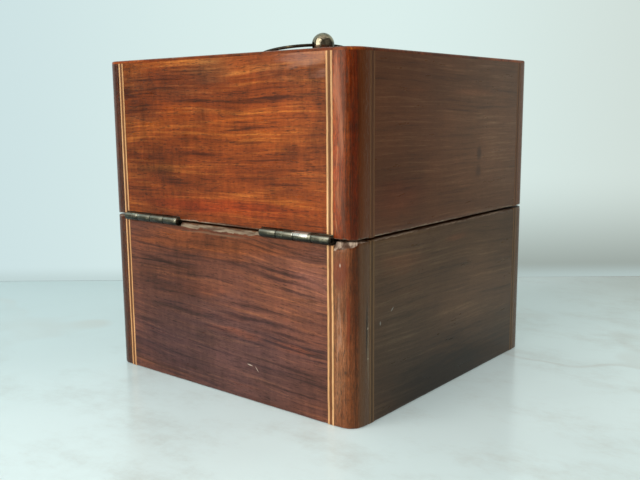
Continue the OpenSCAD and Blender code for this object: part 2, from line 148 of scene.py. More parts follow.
def near(value, *targets):
    return any(abs(value - target) < TOUCH for target in targets)


def shifted(piece, step=(0, 0, 0), **turns):
    open_mesh(piece, whole=True)
    for axis, degrees in turns.items():
        bpy.ops.transform.rotate(value=-math.radians(degrees), orient_axis=axis, orient_type="GLOBAL",
                                 center_override=(0, 0, 0))
    bpy.ops.transform.translate(value=step)
    close_mesh()
    return piece


def copied(piece, name):
    take(piece)
    bpy.ops.object.duplicate()
    return named(bpy.context.object, name)


# %% [markdown]
# A modifier is finished by applying it, so the mesh that leaves this script is the mesh that
# is seen. A block is a cube primitive and a rod a cylinder primitive of the right size, with
# their place put into the mesh. Nearly every edge of a real box is rounded a little, so
# rounding the picked edges has a helper too.

# %% Blocks and modifiers
QUARTER = math.pi / 2
ROD_TURNS = {"X": (0, QUARTER, 0), "Z": (0, 0, 0)}


def settle(piece):
    take(piece)
    bpy.ops.object.transform_apply(location=True, rotation=True, scale=True)
    return piece


def finish_with(piece, kind, **settings):
    take(piece)
    modifier = piece.modifiers.new(kind.title(), kind)
    for name, value in settings.items():
        setattr(modifier, name, value)
    bpy.ops.object.modifier_apply(modifier=modifier.name)


def block(name, low, high):
    clear_selection()
    low, high = Vector(low), Vector(high)
    bpy.ops.mesh.primitive_cube_add(size=1, location=(low + high) / 2, scale=high - low)
    return settle(named(bpy.context.object, name))


def rod(name, radius, length, centre, axis, sides=48):
    clear_selection()
    bpy.ops.mesh.primitive_cylinder_add(vertices=sides, radius=radius, depth=length, location=centre,
                                        rotation=ROD_TURNS[axis])
    return settle(named(bpy.context.object, name))


def round_edges(piece, wanted, width, segments=3):
    pick(piece, "edges", wanted)
    bpy.ops.mesh.bevel(offset=width, segments=segments, profile=0.5, affect="EDGES")


def smooth(piece, degrees=35):
    take(piece)
    bpy.ops.object.shade_smooth_by_angle(angle=math.radians(degrees))


# %% [markdown]
# ## Camera
# The box is seen from behind, from its back left corner, a little below the top of the lid,
# so both hinges and the ball of the ring pull show and the top doesn't. The lens is that of
# a phone held about 27 cm away. The camera is aimed by three angles, and its matrix is built
# from the directions that they give.

# %% Camera
def aimed_camera(place, azimuth, pitch, roll, lens):
    az, el, tilt = (math.radians(a) for a in (azimuth, pitch, roll))
    ahead = Vector((math.cos(el) * math.sin(az), math.cos(el) * math.cos(az), math.sin(el)))
    right = ahead.cross(Vector((0, 0, 1))).normalized()
    up = right.cross(ahead)
    tilted_right = right * math.cos(tilt) + up * math.sin(tilt)
    tilted_up = up * math.cos(tilt) - right * math.sin(tilt)
    data = bpy.data.cameras.new("camera")
    data.lens = lens
    data.sensor_width = 36.0
    data.clip_start = 0.01
    data.clip_end = 20.0
    camera = bpy.data.objects.new("camera", data)
    bpy.context.collection.objects.link(camera)
    turn = Matrix((tilted_right, tilted_up, -ahead)).transposed().to_4x4()
    camera.matrix_world = Matrix.Translation(place) @ turn
    return camera, ahead


eye = Vector((-0.17281, 0.21451, 0.08651))
bpy.context.scene.camera, looking = aimed_camera(eye, 140.819, -9.442, -0.454, 45.011)
print("camera", [round(v, 4) for v in eye], "looks", [round(v, 3) for v in looking])

# %% [markdown]
# ## Shader tools
# A procedural finish is a tree of nodes. A wire is one output of a node together with its
# tree, and it knows the sums of a Math node, so a finish can be written like arithmetic and
# read from top to bottom. A colour is written as the six digits that a colour picker shows
# and is turned into linear light where it is set.

# %% Shader tools
def paint(digits):
    channels = [int(digits[i:i + 2], 16) / 255 for i in (0, 2, 4)]
    linear = [c / 12.92 if c <= 0.04045 else ((c + 0.055) / 1.055) ** 2.4 for c in channels]
    return (*linear, 1.0)


def fill_socket(socket, value):
    if isinstance(value, Wire):
        value.tree.links.new(value.socket, socket)
    else:
        socket.default_value = paint(value) if isinstance(value, str) else value


def fill(node, **sockets):
    for name, value in sockets.items():
        fill_socket(node.inputs[name.replace("_", " ")], value)


def shader_node(tree, kind, sockets=None, **settings):
    made = tree.nodes.new("ShaderNode" + kind)
    for name, value in settings.items():
        setattr(made, name, value)
    for name, value in (sockets or {}).items():
        fill_socket(made.inputs[name], value)
    return made


def wire(tree, kind, sockets, out=0, **settings):
    return Wire(tree, shader_node(tree, kind, sockets, **settings).outputs[out])


class Wire:
    def __init__(self, tree, socket):
        self.tree = tree
        self.socket = socket

    def sum(self, operation, *values):
        return wire(self.tree, "Math", dict(enumerate(values)), operation=operation)

    def __add__(self, other):
        return self.sum("ADD", self, other)

    def __sub__(self, other):
        return self.sum("SUBTRACT", self, other)

    def __rsub__(self, other):
        return self.sum("SUBTRACT", other, self)

    def __mul__(self, other):
        return self.sum("MULTIPLY", self, other)

    def __truediv__(self, other):
        return self.sum("DIVIDE", self, other)

    def __abs__(self):
        return self.sum("ABSOLUTE", self)

    def at_least(self, other):
        return self.sum("MAXIMUM", self, other)

    def at_most(self, other):
        return self.sum("MINIMUM", self, other)

    def ramp(self, low, high, start=0.0, end=1.0):
        sockets = {"Value": self, "From Min": low, "From Max": high, "To Min": start, "To Max": end}
        return wire(self.tree, "MapRange", sockets, interpolation_type="SMOOTHSTEP")

    def scaled(self, size):
        return wire(self.tree, "VectorMath", {0: self, "Scale": size}, operation="SCALE")

    def parts(self):
        return [Wire(self.tree, out) for out in shader_node(self.tree, "SeparateXYZ", {0: self}).outputs]

    def noise(self, stretch, shift, detail=3.0, roughness=0.5):
        sockets = {"Vector": self, "Location": (shift, shift, shift), "Scale": stretch}
        moved = wire(self.tree, "Mapping", sockets)
        sockets = {"Vector": moved, "Scale": 1.0, "Detail": detail, "Roughness": roughness}
        return wire(self.tree, "TexNoise", sockets)


def axes(*parts):
    return wire(parts[0].tree, "CombineXYZ", dict(enumerate(parts)))


def blend(amount, below, above, way="MIX"):
    sockets = {0: amount, 6: below, 7: above}
    return wire(amount.tree, "Mix", sockets, 2, data_type="RGBA", blend_type=way)


# %% [markdown]
# An effect that several finishes share is a node group, built once. This helper opens a group
# with named inputs and outputs, and the next one sets the group into a material with that
# material's own values.

# %% Node group tools
def open_group(name, inputs, outputs):
    tree = bpy.data.node_groups.new(name, "ShaderNodeTree")
    kinds = {str: "NodeSocketColor", float: "NodeSocketFloat", type(None): "NodeSocketVector"}
    for label, value in inputs.items():
        socket = tree.interface.new_socket(label, in_out="INPUT", socket_type=kinds[type(value)])
        if value is not None:
            fill_socket(socket, value)
    for label in outputs:
        kind = kinds[str if label == "Colour" else float]
        tree.interface.new_socket(label, in_out="OUTPUT", socket_type=kind)
    starts = tree.nodes.new("NodeGroupInput").outputs
    return {label: Wire(tree, starts[label]) for label in inputs}, tree.nodes.new("NodeGroupOutput")


def place_group(group, place, **values):
    made = place.tree.nodes.new("ShaderNodeGroup")
    made.node_tree = bpy.data.node_groups[group]
    fill(made, Vector=place, **values)
    return {out.name: Wire(place.tree, out) for out in made.outputs}


# %% [markdown]
# ## Wood grain
# Rosewood is read at four scales at once: bands of purple brown and orange brown a few
# millimetres wide, fibres finer than half a millimetre, black lines of resin that run in
# loose groups, and short open pores. All four are noise that is stretched along the grain,
# laid over a coordinate that is bent first, so they bend together as in a real leaf of
# veneer. The group wants a coordinate whose x runs along the grain and whose z runs across
# it, and works in millimetres inside.

# %% Wood grain group
grain, grain_end = open_group("Wood grain", {
    "Vector": None, "Dark": "42200f", "Mid": "84421f", "Light": "b4682c", "Slope": 0.0, "Wave": 2.0,
    "Fineness": 1.0, "Streaks": 0.5, "Pores": 0.5, "Flecks": 0.3, "Figure": 0.1, "Shift": 0.0,
    "Bands": 0.6, "Clouds": 0.3, "Scuffs": 0.1,
}, ("Colour", "Height", "Dullness", "Fibres"))
in_mm = grain["Vector"].scaled(1 / MM)
x, y, z = in_mm.parts()
bend = (in_mm.noise((0.022, 0.02, 0.05), 3.7, 1.0) - 0.5) * grain["Wave"] * 4.0
ripple = (in_mm.noise((0.11, 0.1, 0.35), 11.3, 1.0) - 0.5) * grain["Wave"] * 0.35
across = (z + x * grain["Slope"] + bend + ripple) * grain["Fineness"]
bent = axes(x, y + grain["Shift"], across)
bands = bent.noise((0.01, 0.06, 0.16), 1.0, 4.0, 0.65)
fibres = bent.noise((0.036, 0.3, 1.25), 5.0, 4.0, 0.72)
resin = bent.noise((0.018, 0.1, 0.55), 9.0, 4.0, 0.65)
pores = bent.noise((0.45, 0.8, 4.2), 17.0, 1.0)
flecks = bent.noise((0.06, 0.8, 1.7), 29.0, 2.0)
figure = bent.noise((0.35, 0.1, 0.1), 41.0, 5.0, 0.72)
clouds = bent.noise((0.03, 0.03, 0.05), 53.0)
scuffs = bent.noise((0.9, 1.2, 1.7), 67.0, 3.0, 0.7)

# %% [markdown]
# The bands and fibres choose between the three colours, the resin and the pores darken what
# is there, the flecks catch a little gold, and the figure is the faint upright shimmer of
# wavy fibres. Clouds and scuffs make whole patches lighter or darker. Pores also go out as a
# small dent and as a dull spot in the polish.

# %% Wood grain colours
tone = (bands - 0.5) * grain["Bands"] + ((fibres - 0.5) * 0.72 + 0.5)
wood = blend(tone.ramp(0.3, 0.5), grain["Dark"], grain["Mid"])
wood = blend(tone.ramp(0.5, 0.72), wood, grain["Light"])
wood = blend(flecks.ramp(0.56, 0.72) * grain["Flecks"], wood, grain["Light"])
wood = blend(resin.ramp(0.54, 0.7) * grain["Streaks"], wood, "1b0d09")
pore_mask = pores.ramp(0.57, 0.7) * grain["Pores"]
wood = blend(pore_mask, wood, "170b07")
shimmer = (figure - 0.5) * grain["Figure"] * 4.0 + 1.0
shimmer = (clouds - 0.5) * grain["Clouds"] * 3.0 + shimmer
shimmer = shimmer * ((scuffs - 0.5) * grain["Scuffs"] * 4.0 + 1.0)
fill(grain_end, Colour=wood.scaled(shimmer), Fibres=fibres, Dullness=pore_mask,
     Height=fibres * 0.3 - pore_mask * 0.7)
print("wood grain group:", len(wood.tree.nodes), "nodes")

# %% [markdown]
# ## Marks, wear and tarnish
# A face keeps its own history: a dark streak, a smudge, a nick. Some marks are painted sheen
# or painted shade instead. The mark group is one soft ellipse at a named place on the face,
# its edge broken up by a noise that is shared by all marks of that face.

# %% Mark group
MARK_VALUES = ("Along", "Across", "Half length", "Half width", "Slope", "Ragged", "Strength")
mark_inputs = {"Vector": None, "Noise": 0.5, **dict.fromkeys(MARK_VALUES, 1.0)}
mark, mark_end = open_group("Mark", mark_inputs, ("Mask",))
x, _, z = mark["Vector"].scaled(1 / MM).parts()
along = x - mark["Along"]
across = (z - mark["Across"] - along * mark["Slope"]) / mark["Half width"]
across = across + (mark["Noise"] - 0.5) * mark["Ragged"] * 3.0
ellipse = axes(along / mark["Half length"], across)
reach = wire(ellipse.tree, "VectorMath", {0: ellipse}, "Value", operation="LENGTH")
fill(mark_end, Mask=reach.ramp(0.25, 1.0, 1.0, 0.0) * mark["Strength"])
print("mark group:", len(reach.tree.nodes), "nodes")

# %% [markdown]
# Polish is thin. Where an edge is rubbed or chipped deeper than the polish, pale bare wood
# shows, so the wear group measures how far a point lies under the polished envelope of the
# box, a square with rounded corners, and needs no painted mask. Because it reads the shape,
# the colour always follows the chips that are modelled. The flat faces of the two rims lie
# against each other, so they are kept from turning pale.

# %% Wear group
wear_inputs = {"Vector": None, "Starts": 0.1, "Ends": 0.2, "Uneven": 0.1}
wear, wear_end = open_group("Worn through", wear_inputs, ("Mask",))
x, y, z = wear["Vector"].parts()
past_straight = [(abs(side) - (HALF - CORNER_R)).at_least(0.0) for side in (x, y)]
plan = axes(*past_straight)
side_depth = CORNER_R - wire(plan.tree, "VectorMath", {0: plan}, "Value", operation="LENGTH")
under = side_depth.at_most(TOP - z).at_most(z) / MM
patchy = (wear["Vector"].noise((620.0, 620.0, 620.0), 2.0, 3.0, 0.6) - 0.5) * wear["Uneven"]
worn = (under + patchy).ramp(wear["Starts"], wear["Ends"])
off_rim = abs(z - RIM).at_most(abs(z - LID_RIM))
fill(wear_end, Mask=worn * off_rim.ramp(0.02 * MM, 0.07 * MM, 0.25, 1.0))
print("wear group:", len(worn.tree.nodes), "nodes")

# %% [markdown]
# Metal this old is never one colour. The tarnish group blends bright metal, a dull brown or
# green film and nearly black dirt by two cloudy noises, and gives the film's mask back so
# that the material can be rough and less metallic where the film lies.

# %% Tarnish group
film, film_end = open_group("Tarnish", {
    "Vector": None, "Bright": "b08d57", "Film": "4b4636", "Dirt": "15120d", "Cover": 0.6,
    "Dirtiness": 0.3, "Size": 600.0,
}, ("Colour", "Film mask", "Height"))
place = film["Vector"].scaled(film["Size"])
cloud = place.noise((1.0, 1.0, 1.0), 7.0, 4.0, 0.65)
speck = place.noise((3.1, 3.1, 3.1), 13.0, 3.0, 0.7)
bare_share = 1.0 - film["Cover"]
film_mask = cloud.ramp(bare_share - 0.12, bare_share + 0.12)
dirt_mask = speck.ramp(0.5, 0.68) * film["Dirtiness"]
metal = blend(film_mask, film["Bright"], film["Film"])
fill(film_end, Colour=blend(dirt_mask, metal, film["Dirt"]), Film_mask=film_mask.at_least(dirt_mask),
     Height=cloud + speck)
print("groups:", [g.name for g in bpy.data.node_groups])

# %% [markdown]
# ## Finishes
# Every finish starts from the object's own coordinates, turned so that x runs along the grain
# of the piece: along the face for the veneers, upright in the corner strips, and along each
# board inside. The shader itself stays in the material, and only colours, masks and heights
# come out of the groups.

# %% Material helpers
TURNS = {
    "along_x": [(0.0, 0.0, 0.0)],
    "along_y": [(0.0, 0.0, -QUARTER)],
    "flat": [(QUARTER, 0.0, 0.0)],
    "upright": [(0.0, 0.0, -QUARTER / 2), (0.0, QUARTER, 0.0)],
    "upright_other": [(0.0, 0.0, QUARTER / 2), (0.0, QUARTER, 0.0)],
}


def new_finish(name):
    material = bpy.data.materials.new(name)
    material.use_nodes = True
    tree = material.node_tree
    tree.nodes.clear()
    shader = shader_node(tree, "BsdfPrincipled")
    shader_node(tree, "OutputMaterial", {"Surface": Wire(tree, shader.outputs[0])})
    return material, shader, wire(tree, "TexCoord", {}, "Object")


def turned_place(place, turn):
    for rotation in TURNS[turn]:
        place = wire(place.tree, "Mapping", {"Vector": place, "Rotation": rotation})
    return place


def raised(height, depth, strength):
    return wire(height.tree, "Bump", {"Height": height, "Distance": depth, "Strength": strength})


# %% [markdown]
# ## Polished wood
# The veneers and the corner strips share one recipe: grain, then the marks of that face, then
# bare wood where an edge is worn through. A mark is a film of its own colour, or a tint that
# lets the grain through. The polish is an old shellac, satin more than glossy, and it goes
# dull in the pores and where the wood is bare. On the left side the strips and lines get a
# duller, browner colour: painted shade that matches them to the shaded left face.

# %% Polished wood
AMBER = (1.0, 0.84, 0.64, 1.0)
BARE = "a68d78"
BARE_DARK = "5a4032"


def polished_wood(name, turn, marks=(), roughness=0.3, coat=0.0, starts=0.1, ends=0.24, bare=BARE,
                  specular=0.22, left_shade=None, streaky=0.0, **grain_values):
    material, shader, place = new_finish(name)
    face = turned_place(place, turn)
    grain = place_group("Wood grain", face, **grain_values)
    colour = grain["Colour"]
    # Painted shade: towards the left face the colour turns to a dimmer, browner one.
    if left_shade:
        on_left = place.parts()[0].ramp(-HALF + 0.25 * MM, -HALF + 0.95 * MM, 0.9, 0.0)
        colour = blend(on_left, colour, left_shade)
    ragged = face.noise((70.0, 300.0, 520.0), 4.0, 4.0, 0.6)
    for hue, *values in marks:
        mask = place_group("Mark", face, Noise=ragged, **dict(zip(MARK_VALUES, values)))["Mask"]
        if isinstance(hue, str):
            colour = blend(mask, colour, hue)
        else:
            colour = blend(mask, colour, (*(share / 2 for share in hue), 1.0), "OVERLAY")
    worn = place_group("Worn through", place, Starts=starts, Ends=ends, Uneven=0.22)["Mask"]
    colour = blend(worn, colour, blend(ragged.ramp(0.38, 0.6), BARE_DARK, bare))
    dull = worn.at_least(grain["Dullness"] * 0.6)
    rough = dull * 0.3 + roughness + (ragged - 0.5) * 0.16 + (grain["Fibres"] - 0.5) * streaky
    fill(shader, Base_Color=colour, Roughness=rough, Coat_Weight=(1.0 - dull) * coat, Coat_Roughness=0.2,
         Specular_IOR_Level=specular, Specular_Tint=AMBER, Normal=raised(grain["Height"], 0.05 * MM, 0.5))
    return material


def tones(dark, mid, light):
    return {"Dark": dark, "Mid": mid, "Light": light}


# %% [markdown]
# The lid is a warm orange brown with gold in it, and the lower half is cut from a darker,
# purpler leaf with black lines that slope across it. The back and the left side have marks
# of their own, given as colour or tint, place along and across the face in millimetres, half
# length, half width, slope, raggedness and strength. Some of them are painted sheen or
# painted shade, as noted where they stand.

# %% Marks on the veneer
PURPLE = (0.55, 0.66, 1.4)
GOLD = (1.6, 1.75, 1.5)
RED = (1.2, 0.82, 0.72)
DARKER = (0.45, 0.4, 0.4)
SOOTY = (0.3, 0.3, 0.42)
SCRATCH = "d9c3b0"
face_marks = {
    "lid_back": [
        # The purple clouds along the top are partly the leaf's own colour and partly painted sheen.
        (PURPLE, 20, 93, 36, 8, 0.05, 0.4, 0.8),
        (PURPLE, 34, 86, 16, 5, 0.05, 0.5, 0.6),
        (PURPLE, -28, 98, 20, 6, 0, 0.4, 0.6),
        (GOLD, -12, 80, 34, 8, 0, 0.6, 0.5),
        (DARKER, 30, 67.6, 16, 2.2, -0.04, 0.7, 0.8),
        (DARKER, -30.5, 74.6, 4, 3.6, 0, 0.3, 0.7),
        (DARKER, -10, 76.7, 16, 0.7, -0.02, 0.5, 0.8),
        (DARKER, -10, 80.3, 10, 0.6, -0.06, 0.6, 0.9),
        (DARKER, 22, 63.5, 19, 0.5, -0.04, 0.5, 0.8),
        (DARKER, -28, 65.5, 14, 0.5, -0.04, 0.5, 0.8),
        (RED, 0, 57.5, 46, 3.6, -0.02, 0.5, 0.9),
        (GOLD, -28, 60.5, 12, 2, 0, 0.8, 0.6),
        (GOLD, -10, 72, 18, 0.6, -0.03, 0.5, 0.9),
        (GOLD, -6, 83, 16, 0.6, -0.03, 0.5, 0.9),
        (GOLD, -19, 88.5, 5, 0.5, 0, 0.3, 0.8),
        # The next seven marks, lighter or bluer along the top and at the right end, are painted sheen.
        ((1.3, 1.4, 1.5), -36, 84, 12, 22, 0, 0.2, 0.9),
        ((1.7, 1.95, 2), -34, 100, 20, 9, 0, 0.6, 0.9),
        ((1.2, 1.6, 2), 4, 100.5, 28, 8, 0, 0.6, 0.7),
        ((1.4, 1.8, 2), 38, 98, 12, 9, 0, 0.6, 0.8),
        ((0.7, 0.95, 1.6), 1, 97, 14, 6, 0, 0.5, 0.8),
        ("a8867c", -36, 101.5, 16, 8, 0, 0.9, 0.3),
        ((1.4, 1.6, 1.9), -39, 68, 9, 5, 0, 0.6, 0.8),
        ("7d6450", 4, 51.9, 17, 0.9, 0, 1.3, 0.4),
    ],
    "base_back": [
        ((1.6, 1.25, 0.65), 4, 46.5, 54, 6, -0.06, 0.5, 0.95),
        (DARKER, 26, 38.2, 20, 0.8, 0.1, 0.6, 0.9),
        (SOOTY, -24, 40.8, 18, 0.7, 0.1, 0.7, 0.9),
        (SOOTY, -26, 38.6, 17, 1, 0.09, 0.8, 0.9),
        (SOOTY, -30, 35.8, 13, 0.6, 0.1, 0.7, 0.8),
        (SOOTY, -16, 25.2, 26, 1.1, 0.03, 0.9, 0.9),
        (SOOTY, -28, 22.6, 14, 0.8, 0.06, 0.8, 0.8),
        (SOOTY, 22, 24, 18, 0.9, 0.02, 0.8, 0.7),
        (SOOTY, 34, 17.6, 12, 0.9, 0.02, 0.8, 0.7),
        (SOOTY, -30, 13, 13, 1, 0.08, 0.8, 0.7),
        ((1.55, 1.2, 0.9), -6, 20, 16, 1.6, 0, 0.9, 0.9),
        ((1.55, 1.2, 0.9), -30, 19.6, 11, 1.4, 0.04, 0.9, 0.8),
        ((1.25, 1.25, 1.15), -30, 30, 12, 4.5, 0.05, 0.5, 0.8),
        ((1.3, 1.15, 1), 8, 32, 16, 3, 0, 0.8, 0.6),
        ((0.62, 0.62, 0.75), 26, 8, 30, 10, 0.05, 0.5, 0.8),
        ((0.72, 0.75, 0.85), 30, 26, 20, 16, 0, 0.5, 0.6),
        # Painted sheen: this lift and the bluish one two lines down, near the right end.
        ((1.35, 1.35, 1.35), -32, 26, 18, 30, 0, 0.2, 0.8),
        ((0.72, 0.97, 1.5), 2, 12, 60, 26, 0, 0.3, 0.9),
        ((1.6, 1.75, 1.95), -37, 38, 12, 10, 0, 0.6, 0.85),
        ("83705a", 2, 49.2, 19, 0.6, 0, 1.2, 0.35),
        (SCRATCH, -12.2, 11.1, 1.5, 0.25, 0.1, 0.3, 0.7),
        (SCRATCH, -15, 10.3, 0.9, 0.3, 1.1, 0.3, 0.6),
    ],
    "lid_left": [
        ((1.35, 1.3, 1.3), -12, 90.6, 19, 1.5, 0, 0.5, 0.9),
        ((1.2, 1.15, 1.1), 20, 90.8, 7, 0.8, 0, 0.5, 0.8),
        (SOOTY, -15.7, 71.5, 2.2, 3.4, 0, 0.3, 0.7),
        (SOOTY, -15.4, 66, 2.4, 3, 0, 0.3, 0.6),
        (RED, 30, 62, 18, 8, 0, 0.4, 0.6),
        # Painted sheen: the face turns paler and greyer towards its far end.
        ((1.25, 1.6, 1.9), -48, 78, 80, 70, 0, 0.1, 1),
    ],
    "base_left": [
        ((1.5, 1.2, 1.1), -2, 46.6, 9, 1.4, 0, 0.5, 0.8),
        ((1.4, 1.1, 1), 28, 43, 16, 4, 0.1, 0.9, 0.6),
        # Painted shade: this mark and the next darken the face towards the floor.
        ((0.3, 0.3, 0.35), 4, 1, 60, 20, 0, 0.3, 1),
        ((0.7, 0.7, 0.7), -20, -4, 60, 26, 0, 0.3, 1),
        ((0.6, 0.7, 0.8), 26, 20, 24, 20, 0, 0.3, 0.7),
        ("a8a49c", 33, 30.5, 0.9, 0.35, -0.7, 0.3, 0.8),
        ("a8a49c", 38.8, 27.6, 0.4, 0.8, 0, 0.3, 0.7),
    ],
}
print("marks:", {face: len(marks) for face, marks in face_marks.items()})

# %% [markdown]
# Each face is cut from its own part of the leaf, which is the shift into the pattern, with
# its own slope and wave. The left side gets a greyer, quieter copy of the wood: painted
# shade and sheen for the grey haze that this shaded face shows.

# %% Veneer finishes
WOODS = {
    "lid": (tones("411707", "7a340f", "a65a22"),
            dict(Bands=0.8, Streaks=0.12, Pores=0.6, Flecks=0.25, Figure=0.4, Clouds=0.85, Scuffs=0.2)),
    "base": (tones("371f1d", "663a2c", "915537"),
             dict(Bands=0.6, Streaks=0.5, Pores=0.5, Flecks=0.2, Figure=0.25, Clouds=0.7, Scuffs=0.15)),
}
quiet_grain = dict(Bands=0.3, Streaks=0.08, Pores=0.15, Flecks=0.08, Figure=0.06, Clouds=0.35)
# Painted shade and sheen: a greyer, lower-contrast copy of the veneer for the shaded left side.
LEFT_SHADED_WOODS = {"lid": (tones("492818", "6b3d24", "88583a"), quiet_grain),
              "base": (tones("453020", "644630", "7f6044"), quiet_grain)}
faces = {}
for half, side, turn, shift, slope, wave in (
        ("lid", "back", "along_x", 0.0, 0.02, 0.9), ("lid", "left", "along_y", 31.0, -0.01, 0.6),
        ("lid", "front", "along_x", 63.0, 0.03, 1.2), ("lid", "right", "along_y", 97.0, 0.02, 1.0),
        ("lid", "top", "flat", 11.0, 0.04, 1.6), ("base", "back", "along_x", 150.0, -0.05, 1.3),
        ("base", "left", "along_y", 181.0, -0.03, 0.8), ("base", "front", "along_x", 215.0, 0.05, 1.4),
        ("base", "right", "along_y", 243.0, 0.04, 1.2)):
    wood_tones, wood_grain = (LEFT_SHADED_WOODS if side == "left" else WOODS)[half]
    bare = "96846e" if (half, side) == ("base", "back") else BARE
    faces[half, side] = polished_wood(
        f"{half}_veneer_{side}", turn, face_marks.get(f"{half}_{side}", ()), bare=bare, Shift=shift,
        Slope=slope, Wave=wave, **wood_grain, **wood_tones)
print("veneer finishes:", len(faces))

# %% [markdown]
# ## Corner wood, lines and boards
# The corner strips are solid wood with its grain upright, redder and a little glossier than
# the veneer. The back left one is the corner that a hand takes hold of, so it is rubbed,
# scratched and, in the lower half, cracked. Its marks also hold a painted sheen on the half
# that faces the window and a band of painted shade where the rounding turns away. On these
# strips the place across is measured from the middle of the rounding.

# %% Corner wood
corner_marks = {
    "lid": [
        # Painted sheen: the lit half of the rounding made paler.
        ((1.8, 1.75, 1.7), 76, -4.8, 36, 3.5, 0, 0.25, 1),
        ("b06a4c", 92, -3.8, 12, 1.2, 0, 1.3, 0.6),
        ("ac6644", 79, -3.4, 9, 0.9, 0.02, 1.5, 0.6),
        ("a8623c", 64, -3.8, 7, 1.2, 0, 1.4, 0.5),
        ("5a2008", 86, -2.5, 14, 0.5, 0.01, 1.4, 0.7),
        ("5a2008", 70, -3.4, 14, 0.4, 0, 1.4, 0.7),
        ("4a1a08", 60, -2.6, 8, 0.7, 0, 1.2, 0.7),
        ("b97a50", 56, -4.2, 3, 0.16, -0.1, 0.9, 0.6),
        ("b97a50", 74, -3.9, 5, 0.14, 0.05, 0.9, 0.6),
        # Painted shade: a darker, redder band where the rounding turns from the window.
        ((0.72, 0.5, 0.1), 76, 1, 90, 2.4, 0, 0.2, 1),
    ],
    "base": [
        # Painted sheen: the lit half of the rounding made paler and bluer.
        ((1.3, 1.7, 2.3), 20, -4.7, 34, 3.5, 0, 0.4, 0.9),
        ((1.5, 1.7, 2), 27, -3.8, 12, 2, 0, 1.6, 0.9),
        ((1.2, 1.4, 1.6), 10, -3.4, 10, 2.4, 0, 1.6, 0.8),
        ("a07660", 29, -3.9, 12, 1, 0.02, 2.2, 0.45),
        # Painted shade: a darker band where the rounding turns from the window.
        ((0.6, 0.45, 0.35), 36, 0.5, 27, 2.3, 0, 0.3, 0.9),
        ("742e18", 43, -3.2, 6, 3, 0, 0.6, 0.7),
        ("7a2c14", 30, -1.3, 12, 0.8, 0, 0.8, 0.7),
        ("e0c8b4", 45.2, -3.3, 0.7, 0.2, 0, 0.2, 0.7),
        ("120a06", 27, 4, 12, 0.34, 0.005, 0.15, 0.95),
        ("a08c6e", 20, 4.5, 14, 0.3, 0, 1.6, 0.45),
        ("c4ae92", 27.5, 4.3, 0.5, 0.3, 0, 0.3, 0.8),
        ("c4ae92", 19, 4.4, 0.4, 0.25, 0, 0.3, 0.8),
    ],
}
# The second colour of each is the painted shade that the strips take where they meet the left face.
CORNER_WOODS = {"lid": (tones("481804", "6d2706", "8b4218"), "713f24", 300.0),
                "base": (tones("4a2410", "6c3719", "8f5230"), "6a4a34", 360.0)}
CORNER_PLACES = (("front_right", "a", "upright", 0.0), ("front_left", "b", "upright_other", 30.0),
                 ("back_left", "c", "upright", 0.0), ("back_right", "d", "upright_other", 45.0))
FAR_WOOD = (tones("2c1208", "4a200d", "663416"), "713f24")
corner_wood = {}
for half, (half_tones, half_left_shade, half_shift) in CORNER_WOODS.items():
    for corner, letter, turn, shift in CORNER_PLACES:
        wood_tones, left_shade = FAR_WOOD if corner == "back_right" else (half_tones, half_left_shade)
        bare = "c9b09a" if (half, corner) == ("base", "back_left") else BARE
        corner_wood[half, corner] = polished_wood(
            f"{half}_corner_wood_{letter}", turn, corner_marks[half] if corner == "back_left" else (),
            roughness=0.26, specular=0.36, left_shade=left_shade, streaky=0.7, bare=bare, Shift=half_shift + shift,
            Slope=0.0, Wave=0.5, Bands=0.6, Fineness=1.6, Streaks=0.45, Pores=0.8, Flecks=0.7, Figure=0.3,
            Scuffs=0.5, Clouds=0.5, **wood_tones)
print("corner finishes:", len(corner_wood))

# %% [markdown]
# The pale lines are boxwood gone honey coloured, and the dark core between them is stained
# black that has faded. Inside are plain walnut boards and a pale lining, oiled and not
# polished, so they have hardly any coat, and they are never worn through.

# %% Lines and boards
NEVER = 40.0
WALNUT = tones("3e2517", "6b442c", "8a5f3f")
LINING = tones("9a7448", "c19a66", "d6b482")
BOXWOOD = tones("b27c4a", "d9a26e", "eabb88")
DARK_CORE = tones("4a2a18", "74462a", "8e603c")
line_finishes = {}
# Each line's last colour is the painted shade that it takes on the left face.
for half, tone, name, left_shade in (("lid", "pale", "boxwood", "75492e"), ("lid", "dark", "dark", "643b25"),
                                ("base", "pale", "boxwood", "75573a"), ("base", "dark", "dark", "5a412c")):
    wood_tones = BOXWOOD if tone == "pale" else DARK_CORE
    line_finishes[half, tone] = polished_wood(
        f"{half}_{name}_line", "upright", roughness=0.4, starts=0.3, ends=0.5, left_shade=left_shade, Shift=480.0,
        Slope=0.0, Wave=0.1, Fineness=1.5, Streaks=0.25, Pores=0.3, Flecks=0.0, Figure=0.0, **wood_tones)
boards = {}
for name, shift, wood_tones, turns in (("walnut", 420.0, WALNUT, ("along_x", "along_y", "flat")),
                                       ("lining", 450.0, LINING, ("along_x", "along_y"))):
    for turn in turns:
        boards[name, turn] = polished_wood(
            f"{name}_{turn}", turn, roughness=0.55, coat=0.05, starts=NEVER, ends=NEVER + 1, Shift=shift,
            Slope=0.0, Wave=2.0, Fineness=0.6, Streaks=0.15, Pores=0.4, Flecks=0.1, Figure=0.05,
            **wood_tones)
print("line and board finishes:", len(line_finishes) + len(boards))

# %% [markdown]
# ## Metals
# The hinges are steel that has gone grey green. The ball and its ring are dark bronze,
# almost black in the hollows. Screws, nut and catch are brass, dull outside and brighter where
# a tool has turned them. They share the tarnish group, and the film over the metal is rougher
# and less metallic than the metal itself. Only the hinges get painted light: a painted
# highlight along the top of the barrels, a brighter one on one knuckle, and painted shade
# over their lower half.

# %% Metals
HINGE_AXIS_Z = sum(corner.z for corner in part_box("left_hinge_pin")) / 2
# The knuckle that gets the brighter painted highlight.
GLINT_KNUCKLE_X = -33.4 * MM


